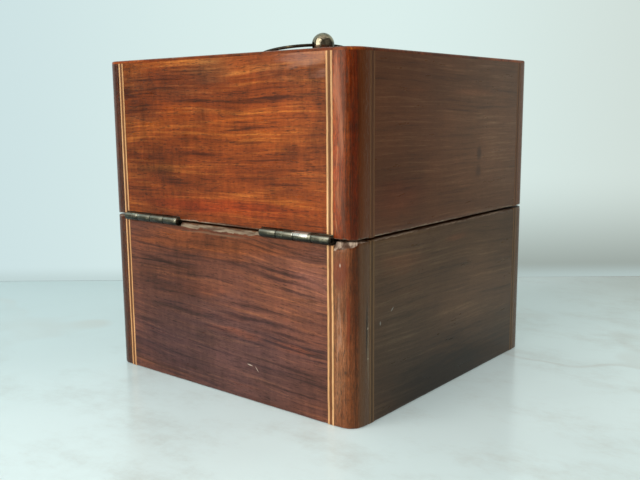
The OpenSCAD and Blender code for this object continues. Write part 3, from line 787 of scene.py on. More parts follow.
def metal_finish(name, bright, film, dirt, with_painted_light, cover, dirtiness, size, rough_bright, rough_film,
                 film_metal, bump=0.02 * MM):
    material, shader, place = new_finish(name)
    aged = place_group("Tarnish", place, Bright=bright, Film=film, Dirt=dirt, Cover=cover,
                       Dirtiness=dirtiness, Size=size)
    mask = aged["Film mask"]
    colour = aged["Colour"]
    if with_painted_light:
        x, _, z = place.parts()
        above = z - HINGE_AXIS_Z
        # Painted highlight: a pale line along the top of the barrels, weaker on the film.
        painted_highlight_line = abs(above - 0.72 * MM).ramp(0.12 * MM, 0.4 * MM, 1.0, 0.0)
        colour = blend(painted_highlight_line * mask.ramp(0.0, 0.9, 1.0, 0.35), colour, "c9c6b2")
        # Painted highlight: one knuckle brighter still on its upper half.
        knuckle = abs(x - GLINT_KNUCKLE_X).ramp(2.4 * MM, 3.0 * MM, 1.0, 0.0)
        colour = blend(knuckle * above.ramp(0.2 * MM, 0.5 * MM), colour, "e4e4d8")
        # Painted shade: the barrels go dark from a little above their axis downwards.
        colour = blend(above.ramp(-0.6 * MM, 0.3 * MM, 0.93, 0.0), colour, dirt)
    fill(shader, Base_Color=colour, Roughness=mask.ramp(0.0, 1.0, rough_bright, rough_film),
         Metallic=mask.ramp(0.0, 1.0, 1.0, film_metal), Normal=raised(aged["Height"], bump, 0.4))
    return material


FILM_NUMBERS = ("cover", "dirtiness", "size", "rough_bright", "rough_film", "film_metal", "bump")
metals = {}
for name, colours, numbers in (
        ("hinge_steel", ("8f8b74", "504e40", "1e1c17"), (0.6, 0.35, 450.0, 0.2, 0.33, 0.85, 0.006 * MM)),
        ("pin_steel", ("8d8b7c", "3d3a30", "15130f"), (0.6, 0.5, 900.0, 0.35, 0.55, 0.7)),
        ("screw_brass", ("b9965a", "6b5a38", "2a2216"), (0.45, 0.5, 900.0, 0.3, 0.5, 0.8)),
        ("dark_bronze", ("a69b82", "4a4434", "1a1812"), (0.5, 0.2, 220.0, 0.1, 0.18, 0.65, 0.008 * MM)),
        ("ring_bronze", ("5a503c", "2e281e", "0f0d0a"), (0.6, 0.35, 500.0, 0.3, 0.45, 0.8)),
        ("nut_brass", ("c2a062", "7a673f", "2c2417"), (0.4, 0.35, 500.0, 0.28, 0.45, 0.85)),
        ("catch_brass", ("bd9b5c", "7d6a42", "2c2417"), (0.4, 0.3, 400.0, 0.26, 0.42, 0.85))):
    # Only the hinge steel takes the painted highlights and painted shade.
    metals[name] = metal_finish(name, *colours, with_painted_light=name == "hinge_steel",
                                **dict(zip(FILM_NUMBERS, numbers)))
print("metals:", list(metals))

# %% [markdown]
# ## Floor, wall and light
# The box stands on polished pale stone with faint grey veins and smudges. The floor is really
# lit, so it keeps the shadow and a weak reflection of the box, and a little glow of its own
# colour stands for the light that a real room throws back on it. On top of that its colour
# holds painted shade towards the wall on the left and a painted shadow of the box far to
# the right.

# %% Floor
FLOOR_W = 2.4
FLOOR_Z = -0.0001
flat_look = Vector((looking.x, looking.y, 0)).normalized()


def plane(name, width, length, height=0.0):
    clear_selection()
    bpy.ops.mesh.primitive_plane_add(size=1.0, location=(0, 0, height))
    piece = named(bpy.context.object, name)
    piece.scale = (width, length, 1)
    return settle(piece)


def stone_finish(name):
    material, shader, place = new_finish(name)
    drift = place.noise((6.0, 6.0, 6.0), 3.0, 3.0, 0.55)
    wander = place.noise((4.0, 4.0, 4.0), 8.0, 4.0, 0.6)
    bend = axes(wander * 0.35, drift * 0.3)
    moved = wire(place.tree, "VectorMath", {0: place, 1: bend}, operation="ADD")
    vein = moved.noise((5.0, 11.0, 5.0), 21.0, 2.0)
    vein_mask = abs(vein - 0.5).ramp(0.0, 0.035, 1.0, 0.0) * drift.ramp(0.45, 0.65)
    patch = place.noise((22.0, 30.0, 24.0), 15.0, 6.0, 0.7)
    x, y, _ = place.parts()
    ahead = x * flat_look.x + y * flat_look.y
    leftward = y * flat_look.x - x * flat_look.y
    colour = blend(wander.ramp(0.35, 0.65), "d2e1e0", "c4d2d1")
    colour = blend(patch.ramp(0.45, 0.75, 0.0, 0.5), colour, "a9aaa1")
    # Painted shade: the floor darkens towards the wall, most on the left.
    colour = blend(ahead.ramp(-0.15, 0.12) * leftward.ramp(-0.02, 0.08, 0.35, 1.0), colour, "a2b4b5")
    # Painted shadow: a grey brown patch on the far right, where the box's shadow falls.
    colour = blend(ahead.ramp(0.0, 0.16) * leftward.ramp(-0.18, -0.08, 0.7, 0.0), colour, "8f8a7c")
    colour = blend(vein_mask * 0.4, colour, "a5a298")
    fill(shader, Base_Color=colour, Roughness=0.2, Specular_IOR_Level=0.4, Emission_Color=colour,
         Emission_Strength=0.34)
    return material


floor = plane("floor", FLOOR_W, FLOOR_W, FLOOR_Z)
floor.data.materials.append(stone_finish("pale_stone"))
print("floor:", FLOOR_W, "m wide,", len(floor.data.materials[0].node_tree.nodes), "nodes in its finish")

# %% [markdown]
# A pale wall rises close behind the box, square to the way that the camera looks. It shows
# its colour without shading where the camera or a reflection sees it, and can be looked
# through from behind so that it never hides the box from the other side. Its colour holds
# a painted shadow of the box low on the right, painted shade at its foot and painted shade
# that darkens its far right end.

# %% Wall
WALL_GAP = 0.40
WALL_W = 1.6
WALL_H = 1.0
wall_azimuth = math.atan2(looking.x, looking.y)
wall_foot = Vector((eye.x, eye.y, 0)) + flat_look * WALL_GAP


def wall_finish(name):
    material, shader, place = new_finish(name)
    tree = place.tree
    x, y, z = place.parts()
    sideways = x * math.cos(wall_azimuth) - y * math.sin(wall_azimuth)
    colour = blend(sideways.ramp(-0.2, 0.0), "cce1e3", "dcefec")
    colour = blend(sideways.ramp(0.02, 0.2), colour, "d0dcd6")
    # Painted shadow: the box's shadow low on the wall, right of the middle.
    colour = blend(z.ramp(-0.01, 0.055, 1.0, 0.0) * sideways.ramp(0.02, 0.1), colour, "919b95")
    # Painted shade: the foot of the wall darkens where it meets the floor.
    colour = blend(z.ramp(0.0, 0.008, 0.7, 0.0), colour, "bccfce")
    # Painted shade: the far right end of the wall goes dark.
    colour = blend(sideways.ramp(0.42, 0.7), colour, "6f6a60")
    fill(shader, Base_Color=colour, Roughness=0.8)
    glow = wire(tree, "Emission", {"Color": colour, "Strength": 1.0})
    rays = shader_node(tree, "LightPath").outputs
    kinds = ("Camera", "Glossy", "Transmission")
    direct, glossy, through = (Wire(tree, rays[f"Is {kind} Ray"]) for kind in kinds)
    seen = direct.at_least(glossy.at_least(through))
    shown = wire(tree, "MixShader", {0: seen, 1: Wire(tree, shader.outputs[0]), 2: glow})
    behind = wire(tree, "NewGeometry", {}, "Backfacing")
    clear = wire(tree, "BsdfTransparent", {})
    seen_through = wire(tree, "MixShader", {0: behind, 1: shown, 2: clear})
    fill(tree.nodes["Material Output"], Surface=seen_through)
    return material


wall = shifted(plane("wall", WALL_W, WALL_H), (0, 0, WALL_H / 2), X=90)
shifted(wall, wall_foot, Z=-math.degrees(wall_azimuth))
wall.data.materials.append(wall_finish("pale_wall"))
print("wall stands", round(wall_foot.length, 3), "m behind the box and faces",
      [round(c, 2) for c in wall.data.polygons[0].normal])

# %% [markdown]
# One large soft window stands to the left of the camera and behind it. It lights the back of
# the box, leaves the left side to the weaker light of the room, and gives the ball its tall
# highlight. The world adds a dim warm light from everywhere.

# %% Light
BOX_MIDDLE = Vector((0, 0, 0.05))


def soft_window(name, direction, distance, width, height, watts, colour):
    data = bpy.data.lights.new(name, "AREA")
    data.shape = "RECTANGLE"
    data.size = width
    data.size_y = height
    data.energy = watts
    data.color = colour
    lamp = bpy.data.objects.new(name, data)
    bpy.context.collection.objects.link(lamp)
    aim = Vector(direction).normalized()
    lamp.location = BOX_MIDDLE + aim * distance
    lamp.rotation_mode = "QUATERNION"
    lamp.rotation_quaternion = aim.to_track_quat("Z", "Y")


soft_window("window", (0.21, 0.88, 0.42), 1.1, 1.05, 1.2, 13.0, (1.0, 0.99, 0.97))
soft_window("ceiling", (0.0, 0.0, 1.0), 1.25, 1.6, 1.6, 7.0, (1.0, 0.99, 0.97))
soft_window("room", (-0.95, 0.1, 0.35), 1.4, 1.0, 1.0, 0.6, (1.0, 0.97, 0.9))
world = bpy.data.worlds.new("room_light")
bpy.context.scene.world = world
world.use_nodes = True
fill(world.node_tree.nodes["Background"], Color=(1.0, 0.97, 0.92, 1.0), Strength=0.14)
bpy.context.scene.view_settings.view_transform = "Standard"

# %% [markdown]
# ## Wearing a piece
# A crisp modelled edge looks new, so edges are worn after they are rounded. The wear is a
# Displace modifier that pushes points inwards by a cloudy noise, but only where a weight says
# that the edge is open to knocks, and it is applied at once. Where the push goes deeper than
# the polish, the finish turns to bare wood by itself.

# %% Wear
def wear_away(piece, weight_at, depth, size, direction="NORMAL", contrast=1.0, level=0.0):
    cloud = bpy.data.textures.new(f"{piece.name}_wear", "CLOUDS")
    cloud.noise_scale = size
    cloud.noise_depth = 2
    cloud.contrast = contrast
    group = piece.vertex_groups.new(name="worn")
    weights = [(point.index, weight_at(point.co)) for point in piece.data.vertices]
    open_points = [(index, weight) for index, weight in weights if weight > 0]
    for index, weight in open_points:
        group.add([index], min(weight, 1.0), "REPLACE")
    finish_with(piece, "DISPLACE", texture=cloud, texture_coords="LOCAL", vertex_group="worn",
                strength=-depth, mid_level=level, direction=direction)
    piece.vertex_groups.clear()
    print("worn:", piece.name, "at", len(open_points), "points, strength", round(depth / MM, 2), "mm")


def fade(distance, full, none):
    share = (none - distance) / (none - full)
    return max(0.0, min(1.0, share))


def everywhere(place):
    return 1.0


def rim_weight(half):
    foot, head, has_rim = HALVES[half]

    def weight_at(place):
        edge = place.z - foot + (0.0 if foot else 0.55 * MM)
        if has_rim:
            edge = min(edge, head - place.z)
        outer = HALF - max(abs(place.x), abs(place.y))
        return fade(edge, 0.2 * MM, 0.9 * MM) * fade(outer, 0.5 * MM, 0.8 * MM)
    return weight_at


# %% [markdown]
# ## Veneer sheets
# A sheet is a thin block laid in the front of the box and turned to its own face. Its long
# edges are cut into half-millimetre steps so that wear can be as fine as a chip, the outer
# edges are rounded, and more rows run just behind each worn edge.

# %% Veneer sheets
SHEET_HALF = HALF - CORNER_W - LINES_W
STEP = 0.5 * MM
FACE_TURN = {"front": 0, "right": 90, "back": 180, "left": 270}
ROWS_ABOVE_FOOT = (0.8 * MM, 1.5 * MM)
ROWS_BELOW_RIM = (0.7 * MM, 1.1 * MM, 1.6 * MM, 2.4 * MM)


def cut_rows(heights):
    for height in heights:
        bpy.ops.mesh.select_all(action="SELECT")
        bpy.ops.mesh.bisect(plane_co=(0, 0, height), plane_no=(0, 0, 1))


def worn_ends(half):
    foot, head, has_rim = HALVES[half]
    return (foot, head) if has_rim else (foot,)


def veneer_sheet(half, side):
    foot, head, has_rim = HALVES[half]
    front = -HALF + POLISH_SINK
    piece = block(f"{half}_{side}_sheet", (-SHEET_HALF, front, foot), (SHEET_HALF, front + VENEER, head))
    open_mesh(piece)
    pick(piece, "edges", lambda e: runs_along(e, 0))
    bpy.ops.mesh.subdivide(number_cuts=round(2 * SHEET_HALF / STEP) - 1)
    round_edges(piece, lambda e: runs_along(e, 0) and near(middle(e).y, front)
                and near(middle(e).z, *worn_ends(half)), BEVEL)
    cut_rows(foot + rise for rise in ROWS_ABOVE_FOOT)
    cut_rows(head - drop for drop in (ROWS_BELOW_RIM if has_rim else ()))
    close_mesh()
    return shifted(piece, Z=FACE_TURN[side])


sheets = {(half, side): veneer_sheet(half, side) for half in HALVES for side in FACE_TURN}
for (half, side), sheet in sheets.items():
    wear_away(sheet, rim_weight(half), depth=0.42 * MM, size=1.6 * MM)
print("veneer sheets:", len(sheets), "with", len(sheets["base", "back"].data.polygons), "faces each")

# %% [markdown]
# The rim of the lower half is rubbed away between and beside the hinges: years of lifting the
# lid there have left a slanting, ragged line of bare wood. It is the same kind of wear, only
# deeper, wider and pushed straight in from the back.

# %% Rubbed rim behind the hinges
def rubbed(place):
    along = fade(abs(place.x - 0.4 * MM), 14.0 * MM, 19.0 * MM)
    beside = fade(abs(place.x - 29.5 * MM), 13.0 * MM, 16.0 * MM) * 0.35
    down = fade(RIM - place.z, 0.5 * MM, 1.7 * MM)
    outer = fade(HALF - place.y, 0.5 * MM, 0.8 * MM)
    return max(along, beside) * down * outer


wear_away(sheets["base", "back"], rubbed, depth=0.95 * MM, size=2.6 * MM, direction="Y", contrast=1.6)

# %% [markdown]
# ## Hinge housings
# Each hinge is let into both rims: a flat slot as deep as its leaf, and a hollow round its
# barrel. One cutter of that shape is used on the back sheets and on the lines that pass the
# hinges. The places come from the frame's own hinge pins.

# %% Hinge housings
def union(piece, other):
    finish_with(piece, "BOOLEAN", operation="UNION", solver="EXACT", object=other)
    bpy.data.objects.remove(other)


def cut_away(piece, cutter, keep=False):
    finish_with(piece, "BOOLEAN", operation="DIFFERENCE", solver="EXACT", object=cutter)
    if not keep:
        bpy.data.objects.remove(cutter)


pin_boxes = {side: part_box(f"{side}_hinge_pin") for side in ("left", "right")}
leaf_boxes = {half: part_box(f"left_hinge_{half}_leaf") for half in HALVES}
hinge_x = {side: (low.x + high.x) / 2 for side, (low, high) in pin_boxes.items()}
pin_low, pin_high = pin_boxes["left"]
AXIS_Y = (pin_low.y + pin_high.y) / 2
AXIS_Z = (pin_low.z + pin_high.z) / 2
HINGE_LEN = leaf_boxes["lid"][1].x - leaf_boxes["lid"][0].x
LEAF_IN = leaf_boxes["base"][0].y
LEAF_LOW = leaf_boxes["base"][0].z
LEAF_HIGH = leaf_boxes["lid"][1].z
KNUCKLE_R = AXIS_Z - LEAF_LOW
RELIEF = 0.3 * MM
HOUSING_GAP = 0.15 * MM
HOUSING_HALF = HINGE_LEN / 2 + HOUSING_GAP
PAST_BACK = HALF + 4 * MM
cutters = []
for side, x in hinge_x.items():
    cutter = block(f"{side}_housing", (x - HOUSING_HALF, LEAF_IN - HOUSING_GAP, LEAF_LOW),
                   (x + HOUSING_HALF, PAST_BACK, LEAF_HIGH))
    union(cutter, rod("barrel", KNUCKLE_R + RELIEF, 2 * HOUSING_HALF, (x, AXIS_Y, AXIS_Z), "X", 40))
    cutters.append(cutter)
for half in HALVES:
    for cutter in cutters:
        cut_away(sheets[half, "back"], cutter, keep=True)
print("hinges at x =", {side: round(x / MM, 2) for side, x in hinge_x.items()},
      "pin axis", round(AXIS_Y / MM, 2), round(AXIS_Z / MM, 2))

# %% [markdown]
# ## Top sheet
# The lid's top is one sheet that covers the ends of the others. It starts as a thin block,
# its four upright edges are rounded to the corner radius, and then its upper edge is rounded
# all the way round.

# %% Top sheet
OUTER = HALF - POLISH_SINK
STEM_HOLE_R = 1.6 * MM


def is_upright(edge):
    return runs_along(edge, 2)


top_sheet = block("lid_top_sheet", (-OUTER, -OUTER, SHEET_FOOT), (OUTER, OUTER, TOP))
open_mesh(top_sheet)
pick(top_sheet, "edges", lambda e: not is_upright(e))
bpy.ops.mesh.subdivide(number_cuts=9)
round_edges(top_sheet, lambda e: is_upright(e) and near(abs(middle(e).x), OUTER)
            and near(abs(middle(e).y), OUTER), CORNER_R, 16)
round_edges(top_sheet, lambda e: near(middle(e).z, TOP) and len(e.link_faces) == 2
            and any(abs(f.normal.z) < 0.5 for f in e.link_faces), TOP_BEVEL, 5)
close_mesh()
print("top sheet:", len(top_sheet.data.polygons), "faces")
cut_away(top_sheet, rod("stem_hole", STEM_HOLE_R, 10 * MM, (0, 0, TOP), "Z"))

# %% [markdown]
# ## Corner strips
# A strip is a square stick whose outer upright edge is rounded to the corner radius. It is
# made once at the back right corner for each half, copied, and turned a quarter at a time to
# the other corners. A few rows along it let the wood be very slightly uneven.

# %% Corner strips
STRIP_PARTS = 16
STRIP_ROW_ABOVE_FOOT = 0.8 * MM
STRIP_ROWS_BELOW_RIM = tuple(drop * MM for drop in (0.6, 0.9, 1.2, 1.6, 2.1, 2.7))


def corner_strip(half):
    foot, head, has_rim = HALVES[half]
    inner = HALF - CORNER_W
    piece = block(f"{half}_back_right_strip", (inner, inner, foot), (OUTER, OUTER, head))
    open_mesh(piece)
    round_edges(piece, lambda e: is_upright(e) and near(middle(e).x, OUTER) and near(middle(e).y, OUTER),
                CORNER_R, 16)
    round_edges(piece, lambda e: not is_upright(e) and near(middle(e).z, *worn_ends(half))
                and not near(middle(e).x, inner) and not near(middle(e).y, inner), BEVEL)
    cut_rows([foot + STRIP_ROW_ABOVE_FOOT])
    cut_rows(foot + (head - foot) * i / STRIP_PARTS for i in range(1, STRIP_PARTS))
    cut_rows(head - drop for drop in (STRIP_ROWS_BELOW_RIM if has_rim else ()))
    close_mesh()
    return piece


strips = {}
for half in HALVES:
    first = corner_strip(half)
    strips[half, "back_right"] = first
    for corner, degrees in (("back_left", 90), ("front_left", 180), ("front_right", 270)):
        strips[half, corner] = shifted(copied(first, f"{half}_{corner}_strip"), Z=degrees)
for (half, corner), strip in strips.items():
    wear_away(strip, rim_weight(half), depth=0.38 * MM, size=1.8 * MM)
print("corner strips:", len(strips), "with", len(strips["base", "back_left"].data.polygons), "faces each")

# %% [markdown]
# The back left corner of the lower half has lost a chip at its rim, right beside the hinge:
# a ragged bite about six millimetres long and two high that shows pale bare wood.

# %% Chipped corner
def chipped(place):
    along = fade(abs(place.x + 46.2 * MM), 2.8 * MM, 4.2 * MM)
    height = 1.1 * MM + 1.0 * MM * fade(-place.x, 44.0 * MM, 49.5 * MM)
    down = fade(RIM - place.z, height * 0.6, height * 1.15)
    outer = fade(HALF - place.y, 1.6 * MM, 3.4 * MM)
    return along * down * outer


wear_away(strips["base", "back_left"], chipped, depth=1.2 * MM, size=1.1 * MM, direction="Y", contrast=0.5,
          level=-0.5)

# %% [markdown]
# ## String lines
# The lines are thin strips of boxwood and stained wood bent into a groove by hand, so they
# waver a little. One strip is made, cut into short steps, and copied to its places on a face;
# the wavering is a cloudy push along the face, and a hair of shadow is left on each side of
# a strip where the glue is. The four faces get turned copies, and the hinge housings are cut
# out of them at the back.

# %% String lines
GLUE = 0.03 * MM
LINE_PLACES = {"pale": ((0.0, LINE_PALE), (LINES_W - LINE_PALE, LINE_PALE)),
               "dark": ((LINE_PALE, LINE_DARK),)}


def line_strip(name, half, start, width):
    foot, head, has_rim = HALVES[half]
    low_x = HALF - CORNER_W - start - width + GLUE
    piece = block(name, (low_x, -HALF, foot), (low_x + width - 2 * GLUE, -HALF + VENEER, head))
    open_mesh(piece)
    pick(piece, "edges", is_upright)
    bpy.ops.mesh.subdivide(number_cuts=40)
    round_edges(piece, lambda e: runs_along(e, 0) and near(middle(e).y, -HALF)
                and near(middle(e).z, *worn_ends(half)), BEVEL, 2)
    close_mesh()
    return piece


def joined(pieces, name):
    clear_selection()
    for piece in pieces:
        piece.select_set(True)
    bpy.context.view_layer.objects.active = pieces[0]
    bpy.ops.object.join()
    return named(pieces[0], name)


def all_lines(name, half, places):
    one_face = []
    for start, width in places:
        strip = line_strip(f"{name}_strip", half, start, width)
        middle_x = sum(p.co.x for p in strip.data.vertices) / len(strip.data.vertices)
        one_face += [strip, shifted(copied(strip, f"{name}_far_strip"), (-2 * middle_x, 0, 0))]
    face_set = joined(one_face, f"{name}_face")
    wear_away(face_set, everywhere, depth=0.22 * MM, size=9 * MM, direction="X", level=0.5)
    round_box = [shifted(copied(face_set, f"{name}_{side}"), Z=degrees)
                 for side, degrees in FACE_TURN.items() if degrees]
    set_of_lines = joined([face_set] + round_box, name)
    for cutter in cutters:
        cut_away(set_of_lines, cutter, keep=True)
    return set_of_lines


lines = {(half, tone): all_lines(f"{half}_{tone}_lines", half, places)
         for half in HALVES for tone, places in LINE_PLACES.items()}
print("lines:", {key: len(piece.data.polygons) for key, piece in lines.items()})

# %% [markdown]
# ## Hinges
# A butt hinge is two flat leaves and a row of barrels that take turns round one pin. A leaf
# is modelled once at the middle of the box: a plate, the barrels with softened ends joined
# to it by short necks, a bore for the pin and three countersunk screw seats. The base leaf
# carries the first barrel and the lid leaf the second, and each is copied to both hinges.

# %% Hinge leaves
KNUCKLES = 4
KNUCKLE_GAP = 0.2 * MM
KNUCKLE_PITCH = HINGE_LEN / KNUCKLES
KNUCKLE_LEN = KNUCKLE_PITCH - KNUCKLE_GAP
BARREL_BEVEL = 0.14 * MM
LEAF_BEVEL = 0.08 * MM
NECK_LAP = 0.1 * MM
PIN_R = (pin_high.z - pin_low.z) / 2
PIN_PLAY = 0.04 * MM
LEAF_T = KNUCKLE_R - (LID_RIM - RIM) / 2
LEAF_EDGE = AXIS_Y - KNUCKLE_R - RELIEF
SCREW_PLAY = 0.02 * MM
SCREW_R = 0.8 * MM
SCREW_HEAD_R = 1.5 * MM
SCREW_FROM_END = 4.2 * MM
SCREW_PITCH = HINGE_LEN / 2 - SCREW_FROM_END
SEAT_R = SCREW_HEAD_R + SCREW_PLAY
SEAT_DEPTH = SCREW_HEAD_R - SCREW_R
SCREW_Y = (LEAF_IN + LEAF_EDGE) / 2


def barrel(start):
    piece = rod("barrel", KNUCKLE_R, KNUCKLE_LEN, (start + KNUCKLE_LEN / 2, AXIS_Y, AXIS_Z), "X")
    open_mesh(piece)
    round_edges(piece, lambda e: not runs_along(e, 0), BARREL_BEVEL)
    close_mesh()
    return piece


def countersink(x, plate_face, up):
    clear_selection()
    low_r, high_r = (SCREW_R, SEAT_R) if up < 0 else (SEAT_R, SCREW_R)
    bpy.ops.mesh.primitive_cone_add(vertices=32, radius1=low_r, radius2=high_r,
                                    depth=SEAT_DEPTH + 2 * SCREW_PLAY,
                                    location=(x, SCREW_Y, plate_face + up * SEAT_DEPTH / 2))
    return settle(bpy.context.object)


def hinge_leaf(name, up):
    plate_low = LEAF_HIGH - LEAF_T if up > 0 else LEAF_LOW
    leaf = block(name, (-HINGE_LEN / 2, LEAF_IN, plate_low), (HINGE_LEN / 2, LEAF_EDGE, plate_low + LEAF_T))
    open_mesh(leaf)
    round_edges(leaf, lambda e: True, LEAF_BEVEL, 2)
    close_mesh()
    for i in range(1 if up > 0 else 0, KNUCKLES, 2):
        start = -HINGE_LEN / 2 + i * KNUCKLE_PITCH + KNUCKLE_GAP / 2
        union(leaf, block("neck", (start, LEAF_EDGE - NECK_LAP, plate_low),
                          (start + KNUCKLE_LEN, AXIS_Y, plate_low + LEAF_T)))
        union(leaf, barrel(start))
    cut_away(leaf, rod("bore", PIN_R + PIN_PLAY, HINGE_LEN + 2 * MM, (0, AXIS_Y, AXIS_Z), "X", 32))
    plate_face = plate_low if up > 0 else plate_low + LEAF_T
    for x in (-SCREW_PITCH, 0, SCREW_PITCH):
        cut_away(leaf, rod("screw_hole", SCREW_R + SCREW_PLAY, 4 * MM, (x, SCREW_Y, plate_face), "Z", 32))
        cut_away(leaf, countersink(x, plate_face, up))
    return leaf


leaves = {}
for half, up in (("base", -1), ("lid", 1)):
    pattern = hinge_leaf(f"{half}_leaf_pattern", up)
    for side, x in hinge_x.items():
        leaves[half, side] = shifted(copied(pattern, f"{side}_{half}_leaf"), (x, 0, 0))
    bpy.data.objects.remove(pattern)
print("leaves:", {key: len(piece.data.polygons) for key, piece in leaves.items()})

# %% [markdown]
# The pin is a plain steel rod. Its ends are rounded off and sit a little inside the outer
# barrels, so each hinge ends in a small dark hole.

# %% Hinge pins
PIN_LEN = pin_high.x - pin_low.x
PIN_BEVEL = 0.3 * MM
pins = {}
for side, x in hinge_x.items():
    pin = rod(f"{side}_pin", PIN_R, PIN_LEN, (x, AXIS_Y, AXIS_Z), "X", 32)
    open_mesh(pin)
    round_edges(pin, lambda e: not runs_along(e, 0), PIN_BEVEL, 4)
    close_mesh()
    pins[side] = pin
print("pins:", {side: round(PIN_LEN / MM, 2) for side in pins}, "mm long")

# %% [markdown]
# ## Ball-headed post
# The ring hangs in a post that is turned from one bar: a threaded stem through the lid, a
# round foot, a short flared neck and a ball. Its half outline is drawn by extruding a point
# from station to station, and the outline is spun round the upright axis. The eye is drilled
# through afterwards, and every sharp edge is broken.

# %% Ball post
def turned(name, outline, steps=64):
    clear_selection()
    bpy.ops.mesh.primitive_plane_add(size=MM, location=(0, 0, 0))
    piece = named(bpy.context.object, name)
    open_mesh(piece, whole=True)
    bpy.ops.mesh.merge(type="CENTER")
    bpy.ops.transform.translate(value=outline[0])
    for before, after in zip(outline, outline[1:]):
        step = Vector(after) - Vector(before)
        bpy.ops.mesh.extrude_vertices_move(TRANSFORM_OT_translate={"value": step})
    bpy.ops.mesh.select_all(action="SELECT")
    bpy.ops.mesh.spin(steps=steps, angle=2 * math.pi, center=(0, 0, 0), axis=(0, 0, 1))
    bpy.ops.mesh.select_all(action="SELECT")
    bpy.ops.mesh.remove_doubles(threshold=0.002 * MM)
    bpy.ops.mesh.normals_make_consistent(inside=False)
    close_mesh()
    return piece


post_low, post_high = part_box("ball_post")
BALL_R = 3.8 * MM
BALL_Z = post_high.z - BALL_R
NECK_R = 1.7 * MM
STEM_R = 1.5 * MM
FOOT_R = 5.0 * MM
FOOT_T = 0.8 * MM
FOOT_TOP = TOP + FOOT_T
outline = [
    (0, post_low.z), (STEM_R - 0.3 * MM, post_low.z), (STEM_R, post_low.z + 0.3 * MM), (STEM_R, TOP),
    (FOOT_R - 0.15 * MM, TOP), (FOOT_R, TOP + 0.15 * MM), (FOOT_R, FOOT_TOP - 0.3 * MM),
    (FOOT_R - 0.1 * MM, FOOT_TOP - 0.1 * MM), (FOOT_R - 0.35 * MM, FOOT_TOP), (3.1 * MM, FOOT_TOP),
    (2.7 * MM, FOOT_TOP + 0.05 * MM), (2.2 * MM, FOOT_TOP + 0.3 * MM), (1.85 * MM, FOOT_TOP + 0.65 * MM),
    (NECK_R, FOOT_TOP + 1.0 * MM),
]
BALL_STEPS = 30
neck_meets = math.asin(NECK_R / BALL_R)
for i in range(BALL_STEPS + 1):
    angle = neck_meets + (math.pi - neck_meets) * i / BALL_STEPS
    outline.append((BALL_R * math.sin(angle) if i < BALL_STEPS else 0.0, BALL_Z - BALL_R * math.cos(angle)))
post = turned("ball_and_post", [(r, 0, z) for r, z in outline])

ring_joint = next(joint for joint in frame["joints"] if joint["name"] == "ring_swing")
EYE_Z = ring_joint["pos_m"][2]
EYE_R = 1.02 * MM
POST_BEVEL = 0.12 * MM
eye_way = Vector(ring_joint["axis"])
eye_drill = rod("eye_drill", EYE_R, 4 * BALL_R, (0, 0, 0), "X", 40)
cut_away(post, shifted(eye_drill, (0, 0, EYE_Z), Z=math.degrees(math.atan2(eye_way.y, eye_way.x))))
finish_with(post, "BEVEL", width=POST_BEVEL, segments=3, limit_method="ANGLE", angle_limit=math.radians(50))
print("ball post:", len(post.data.polygons), "faces, eye at z =", round(EYE_Z / MM, 2))

# %% [markdown]
# ## Pull ring
# The ring is a piece of wire bent round and closed with a butt joint, so it isn't perfectly
# even and shows a fine seam where its ends meet. A torus is laid flat with the eye's axis as
# the start of its wire, the seam is pinched in, and then the ring is tilted down on to the
# lid and turned to where it lies.

# %% Pull ring
RING_R = 16.0 * MM
WIRE_R = 0.55 * MM
RING_STEPS = 144
RING_OFF_LID = 0.3 * MM
SEAM_HALF = 0.09 * MM
SEAM_PINCH = 0.86
EYE_SAG = BALL_R ** 2 / (4 * RING_R)
RING_TILT = math.degrees(math.asin((EYE_Z - TOP - WIRE_R - RING_OFF_LID) / (2 * RING_R - EYE_SAG)))
RING_TURN = -25.0
SEAM_AT = math.radians(75)
clear_selection()
bpy.ops.mesh.primitive_torus_add(major_radius=RING_R, minor_radius=WIRE_R, major_segments=RING_STEPS,
                                 minor_segments=20)
ring = named(bpy.context.object, "ring_wire")


def at_seam(place, room):
    apart = math.atan2(place.y, place.x) - SEAM_AT
    return abs((apart + math.pi) % (2 * math.pi) - math.pi) < room


open_mesh(ring)
pick(ring, "edges", lambda e: all(at_seam(v.co, 0.2 * math.pi / RING_STEPS) for v in e.verts))
bpy.ops.mesh.bevel(offset=SEAM_HALF, segments=2, affect="EDGES")
seam_middle = Vector((math.cos(SEAM_AT), math.sin(SEAM_AT), 0)) * RING_R
pick(ring, "verts", lambda v: at_seam(v.co, 0.02 * MM / RING_R))
bpy.ops.transform.resize(value=(SEAM_PINCH, SEAM_PINCH, SEAM_PINCH), center_override=seam_middle)
close_mesh()
shifted(ring, (RING_R - EYE_SAG, 0, 0))
shifted(ring, (0, 0, EYE_Z), Y=RING_TILT, Z=RING_TURN)
wear_away(ring, everywhere, depth=0.05 * MM, size=5 * MM)
ring_box = [[round(limit(v.co[i] for v in ring.data.vertices) / MM, 2) for i in range(3)]
            for limit in (min, max)]
print("ring tilt", round(RING_TILT, 2), "box", ring_box)

# %% [markdown]
# ## Putting it together
# Each new piece takes its finish, rides on the body that carries it and hides the frame's
# own node. The frame's other nodes keep their shape and get the wood or metal that they are
# made of.

# %% New pieces in the frame
def place_piece(piece, finish, body, slot, *nodes, angle=35):
    piece.data.materials.clear()
    piece.data.materials.append(finish)
    smooth(piece, angle)
    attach(piece, body)
    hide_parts(*nodes)


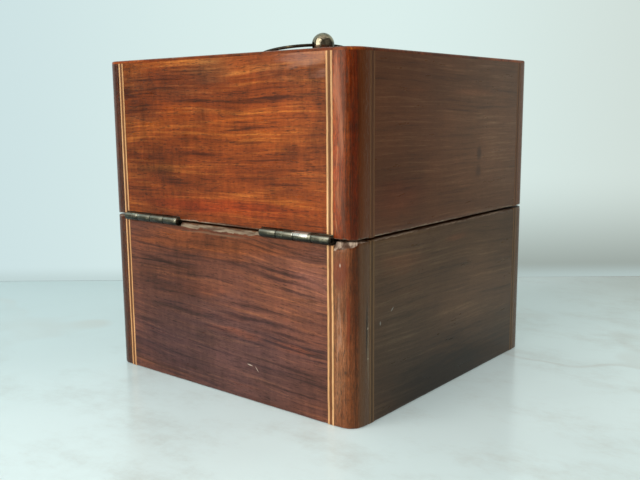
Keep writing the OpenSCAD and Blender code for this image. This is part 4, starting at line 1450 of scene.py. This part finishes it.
for (half, side), sheet in sheets.items():
    place_piece(sheet, faces[half, side], half, f"{half}_veneer", f"{half}_{side}_veneer")
place_piece(top_sheet, faces["lid", "top"], "lid", "lid_veneer", "lid_top_veneer")
for (half, corner), strip in strips.items():
    place_piece(strip, corner_wood[half, corner], half, f"{half}_corner_wood", f"{half}_{corner}_corner")
for (half, tone), piece in lines.items():
    slot, node = {"pale": ("boxwood", "light"), "dark": ("ebony", "dark")}[tone]
    place_piece(piece, line_finishes[half, tone], half, slot, f"{half}_{node}_strings")
for (half, side), leaf in leaves.items():
    place_piece(leaf, metals["hinge_steel"], half, "hinge_steel", f"{side}_hinge_{half}_leaf")
for side, pin in pins.items():
    place_piece(pin, metals["pin_steel"], "base", "hinge_steel", f"{side}_hinge_pin")
place_piece(post, metals["dark_bronze"], "lid", "dark_bronze", "ball_post", angle=40)
place_piece(ring, metals["ring_bronze"], "ring", "dark_bronze", "pull_ring", angle=50)
for cutter in cutters:
    bpy.data.objects.remove(cutter)
print("placed:", len(sheets) + 1 + len(strips) + len(lines) + len(leaves) + len(pins) + 2, "pieces")

# %% [markdown]
# The boards and the lining are walnut and a paler wood with the grain along each board, and
# the screws, the nut and the catch are brass.

# %% Finishes for the frame's own nodes
finished = []
for finish, names in (
        (boards["walnut", "along_x"], ("base_front", "base_back", "lid_front", "lid_back")),
        (boards["walnut", "along_y"], ("base_left", "base_right", "lid_left", "lid_right")),
        (boards["walnut", "flat"], ("base_bottom", "lid_top")),
        (boards["lining", "along_x"], ("front_lining", "back_lining")),
        (boards["lining", "along_y"], ("left_lining", "right_lining")),
        (metals["screw_brass"], ("base_hinge_screws", "lid_hinge_screws", "strike_screws", "keeper_screws")),
        (metals["nut_brass"], ("post_washer", "post_nut")),
        (metals["catch_brass"], ("catch_rod", "catch_tee", "catch_bush", "strike_plate", "keeper_plate"))):
    for name in names:
        node = frame["nodes"][name]
        node.data.materials.clear()
        node.data.materials.append(finish)
        finished.append(name)
unfinished = [name for name, node in frame["nodes"].items() if name not in finished and not node.hide_render]
print("nodes still without a finish:", unfinished)
